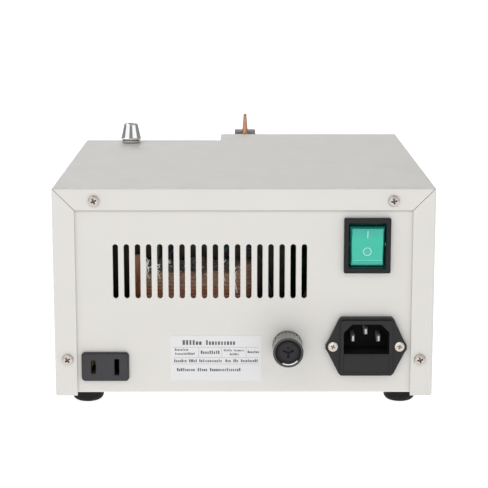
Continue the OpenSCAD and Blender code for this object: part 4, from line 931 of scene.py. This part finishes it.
TAB_D, BLADE_D, FUSE_D, TAIL_D, BOARD_D = 33.55, 36.55, 31.55, 24.55, 208.5
STRAIGHT = 5
SLEEVE_R = 1.1
COIL_H = coil_high.z - BASE_Z
DARK_SLEEVE = MATERIALS["wire_sleeve"]
WIRES = (
    (DARK_SLEEVE, ((-59.6, BLADE_D, 31.5), (-59.6, BLADE_D + STRAIGHT, 31.5), (-60, 47, 42), (-63, 46, 60),
                   (-66.5, TAB_D + STRAIGHT, 75.6), (-66.5, TAB_D, 75.6))),
    (BROWN_SLEEVE, ((-66.5, TAB_D, 83.6), (-66.5, TAB_D + STRAIGHT, 83.6), (-58, 46, 80), (-44, 46, 62),
                    (-32, 44, 40), (-26.8, FUSE_D + STRAIGHT, 26.2), (-26.8, FUSE_D, 26.2))),
    (DARK_SLEEVE, ((-20.8, FUSE_D, 30.2), (-20.8, FUSE_D + STRAIGHT, 30.2), (-17, 43, 42), (-13, 46, 58),
                   (-6, 47, 71), (12, 50, 77), (33, 48, 77), (42, 47, COIL_H + STRAIGHT), (42, 47, COIL_H))),
    (TEAL_SLEEVE, ((-73.6, BLADE_D, 31.5), (-73.6, BLADE_D + STRAIGHT, 31.5), (-72, 50, 42), (-56, 52, 66),
                   (-34, 48, 78), (-6, 46, 79), (8, 46, 74), (12, 46, COIL_H + STRAIGHT), (12, 46, COIL_H))),
    (EARTH_SLEEVE, ((-66.6, BLADE_D, 35.5), (-66.6, BLADE_D + STRAIGHT, 35.5), (-64, 50, 30), (-52, 54, 18),
                    (-48, 55, 7.4), (-48, 55, 2.4))),
    (BROWN_SLEEVE, ((69.25, TAIL_D, 16.3), (69.25, TAIL_D + STRAIGHT, 16.3), (62, 36, 8), (40, 37, 7),
                    (0, 37, 7), (-30, 38, 7), (-44, 48, 12), (-47, 60, 40), (-56, 56, 72), (-64, 47, 88),
                    (-66.5, TAB_D + STRAIGHT, 91.6), (-66.5, TAB_D, 91.6))),
    (DARK_SLEEVE, ((81.95, TAIL_D, 16.3), (81.95, TAIL_D + STRAIGHT, 16.3), (76, 41, 9), (50, 41, 7),
                   (0, 41, 7), (-14, 42, 9), (-20, 40, 17), (-20.4, FUSE_D + STRAIGHT, 25.6),
                   (-20.4, FUSE_D, 25.6))),
    (GREEN_SLEEVE, ((48.5, 47, COIL_H), (48.5, 47, COIL_H + STRAIGHT), (46, 52, 88), (22, 74, 95),
                    (-24, 120, 92), (-42, 165, 78), (-54, 195, 56), (-56, BOARD_D - STRAIGHT, 50),
                    (-56, BOARD_D, 50))),
)
SOLDER_JOINT = lathe([(0, 0), (1.75, 0), (1.6, 0.8), (1.2, 2.0), (0, 2.2)], 20)
wires = []
for sleeve, route in WIRES:
    path = [Vector((x, FLANGE_Y - d, BASE_Z + height)) for x, d, height in route]
    bends = curve(path)[CURVE_STEPS:-CURVE_STEPS]
    wires.append((tube([path[0], *bends, path[-1]], SLEEVE_R, 12), sleeve))
    for end, inward in ((path[0], path[1] - path[0]), (path[-1], path[-2] - path[-1])):
        turned = inward.to_track_quat("Z", "Y").to_matrix().to_4x4()
        wires.append((moved(SOLDER_JOINT, Matrix.Translation(end) @ turned), SOLDER))
piece("wires", wires, "case", None, ["internal_wiring"])


# ---- front: printed film, dial scales and display ----

panel = middle("control_overlay")
FILM = place(FRONT, panel.x, MAIN_Y, panel.z)
FILM_TOP = 0.3
PRINT_TOP = FILM_TOP + 0.025
DIAL_X = 18
KEY_X, KEY_Y = 22, -32
LED_X, LED_Y = 12, 16
DISPLAY_Y = 30
printed = []


def ink_strip(outer, inner):
    printed.append((frame_strip(outer, inner, FILM_TOP, PRINT_TOP), WHITE_INK))


ink_strip(rectangle(73.6, 83.6, 2), rectangle(72.8, 82.8, 1.6))
ink_strip(rectangle(50.2, 22.2, 1.5, y=DISPLAY_Y), rectangle(49.4, 21.4, 1.1, y=DISPLAY_Y))
for side in (-1, 1):
    for i in range(11):
        start, end = 13.6, 15.6 if i % 5 == 0 else 14.8
        bar = prism(rectangle(end - start, 0.4, x=(start + end) / 2), FILM_TOP, PRINT_TOP)
        turn = Matrix.Rotation(math.radians(90 + 150 - 30 * i), 4, "Z")
        printed.append((shifted(moved(bar, turn), side * DIAL_X), WHITE_INK))
    ink_strip(circle(5.4, side * KEY_X, KEY_Y), circle(5.0, side * KEY_X, KEY_Y))
    ink_strip(circle(2.5, side * LED_X, LED_Y), circle(2.2, side * LED_X, LED_Y))
    arrow = [(side * KEY_X - a * side, KEY_Y + 8 - b * side)
             for a, b in ((-1.5, -1.1), (1.5, -1.1), (0, 1.5))]
    printed.append((prism(arrow, FILM_TOP, PRINT_TOP), WHITE_INK))
ink_strip(circle(7.9, 0, KEY_Y), circle(7.3, 0, KEY_Y))
piece("film_print", printed, "case", FILM)


def numeral(name, text, at):
    """Flat figure made of a font curve, turned into a mesh."""
    font = bpy.data.curves.new(name, "FONT")
    font.body = text
    font.size = 3.0
    font.align_x = font.align_y = "CENTER"
    font.extrude = 0.012
    holder = bpy.data.objects.new(name + "_curve", font)
    scene.collection.objects.link(holder)
    bpy.context.view_layer.update()
    mesh = bpy.data.meshes.new_from_object(holder.evaluated_get(bpy.context.evaluated_depsgraph_get()))
    points = [tuple(v.co) for v in mesh.vertices]
    faces = [list(f.vertices) for f in mesh.polygons]
    bpy.data.objects.remove(holder)
    return moved((points, faces), at)


figures = []
for side in (-1, 1):
    for text, angle in (("0", 240), ("5", 90), ("10", -60)):
        a = math.radians(angle)
        at = Matrix.Translation((side * DIAL_X + 17.3 * math.cos(a), 17.3 * math.sin(a), FILM_TOP + 0.014))
        figures.append((numeral(f"figure_{side}_{text}", text, at), WHITE_INK))
piece("dial_figures", figures, "case", FILM)

for name, body_name, side in (("pulse", "pulse_dial", -1), ("current", "current_dial", 1)):
    line = prism(rectangle(0.75, 7.0, 0.1, y=7.0), 13.35, 13.62)
    piece(name + "_pointer", [(line, WHITE_INK)], body_name, FILM @ Matrix.Translation((side * DIAL_X, 0, 0)))

segments = []
for digit in (-13, 0, 13):
    for x, y, w, h in ((0, 6, 5.2, 1.1), (0, 0, 5.2, 1.1), (0, -6, 5.2, 1.1), (-3.4, 3, 1.1, 4.6),
                       (3.4, 3, 1.1, 4.6), (-3.4, -3, 1.1, 4.6), (3.4, -3, 1.1, 4.6)):
        if (digit, x, y) in ((-13, 0, 0), (0, -3.4, -3), (0, 3.4, 3)):
            continue
        line = [(p[0] + p[1] * 0.12, p[1]) for p in rectangle(w, h, 0.3, digit + x, y)]
        segments.append((prism(line, -2.65, -2.2), SEGMENT))
piece("display_segments", segments, "case", FILM @ Matrix.Translation((0, DISPLAY_Y, 0)))


# ---- terminals ----

TERMINAL_Z = BASE_Z + 34
STUDS = [place(FRONT, x, SHORT_Y, TERMINAL_Z) for x in (39, 77)]
# an M8 thread's radius, depth and pitch, and its nut's radius over the corners
M8 = (4.0, 0.45, 1.25)
NUT_R = 7.5


def nut(r, bottom, top):
    """Hexagon with its corners taken off by a cone at both ends."""
    rings = []
    across = r * math.cos(math.pi / 6)
    for z, limit in ((bottom, 0.97), (bottom + 0.5, 1.2), (top - 0.5, 1.2), (top, 0.97)):
        ring = []
        for i, p in enumerate(circle(1, sides=48)):
            flat = across / math.cos((2 * math.pi * i / 48 + math.pi / 6) % (math.pi / 3) - math.pi / 6)
            ring.append((*(p * min(flat, across * limit)), z))
        rings.append(ring)
    return loft(rings)


studs = []
for at in STUDS:
    for shape in (thread(*M8, 3.8, 21.0), nut(NUT_R, 4.0, 9.0), nut(NUT_R, -10.2, -5.2),
                  thread(*M8, -17.2, 0.0)):
        studs.append((moved(shape, at), MATERIALS["brass"]))
piece("threaded_studs", studs, "case", None, ["output_studs"])
marks = []
for x, bars in ((-19, ((4.5, 0.9),)), (19, ((4.5, 0.9), (0.9, 4.5)))):
    marks += [(prism(rectangle(w, h, x=x, y=17), 0, 0.03), GREY_INK) for w, h in bars]
piece("terminal_marks", marks, "case", place(FRONT, 58, SHORT_Y, TERMINAL_Z))


# ---- electrodes and the weld head's plate ----

ROD_R = 2.0
CONE = 13.5
axis = middle("upper_electrode")
ROD_LINE = Matrix.Translation((axis.x, axis.y, 0))
tip, top = low("upper_electrode").z, high("upper_electrode").z
rod = rounded([(0, tip), (0.8, tip, 0.3), (ROD_R, tip + CONE, 3), (ROD_R, top - CONE, 3),
               (0.95, top - 0.1, 0.35), (0.4, top), (0, top)], closed=False)
piece("upper_rod", [(lathe(rod, 40), MATERIALS["copper"])], "weld_arm", ROD_LINE,
      ["upper_electrode"])
tip, bottom = high("lower_electrode").z, low("lower_electrode").z
rod = rounded([(0, bottom), (ROD_R, bottom, 0.3), (ROD_R, tip - CONE, 3), (0.85, tip, 0.3), (0, tip)],
              closed=False)
piece("lower_rod", [(lathe(rod, 40), MATERIALS["copper"])], "case", ROD_LINE, ["lower_electrode"])
plate_front = low("head_insulator").y
for i, (x, height) in enumerate(((-10.2, 107), (10.2, 107), (-10.2, 24), (10.2, 24))):
    at = place(FRONT, axis.x + x, plate_front, BASE_Z + height)
    screw(f"plate_screw_{i}", at, 2.2, 1.3, random.uniform(0, 1.5))


# ---- floor ----

ground = bpy.data.meshes.new("floor")
ground.from_pydata([(-30, -40, 0), (30, -40, 0), (30, 30, 0), (-30, 30, 0)], [], [(0, 1, 2, 3)])
ground.materials.append(floor_white())
floor = bpy.data.objects.new("floor", ground)
scene.collection.objects.link(floor)
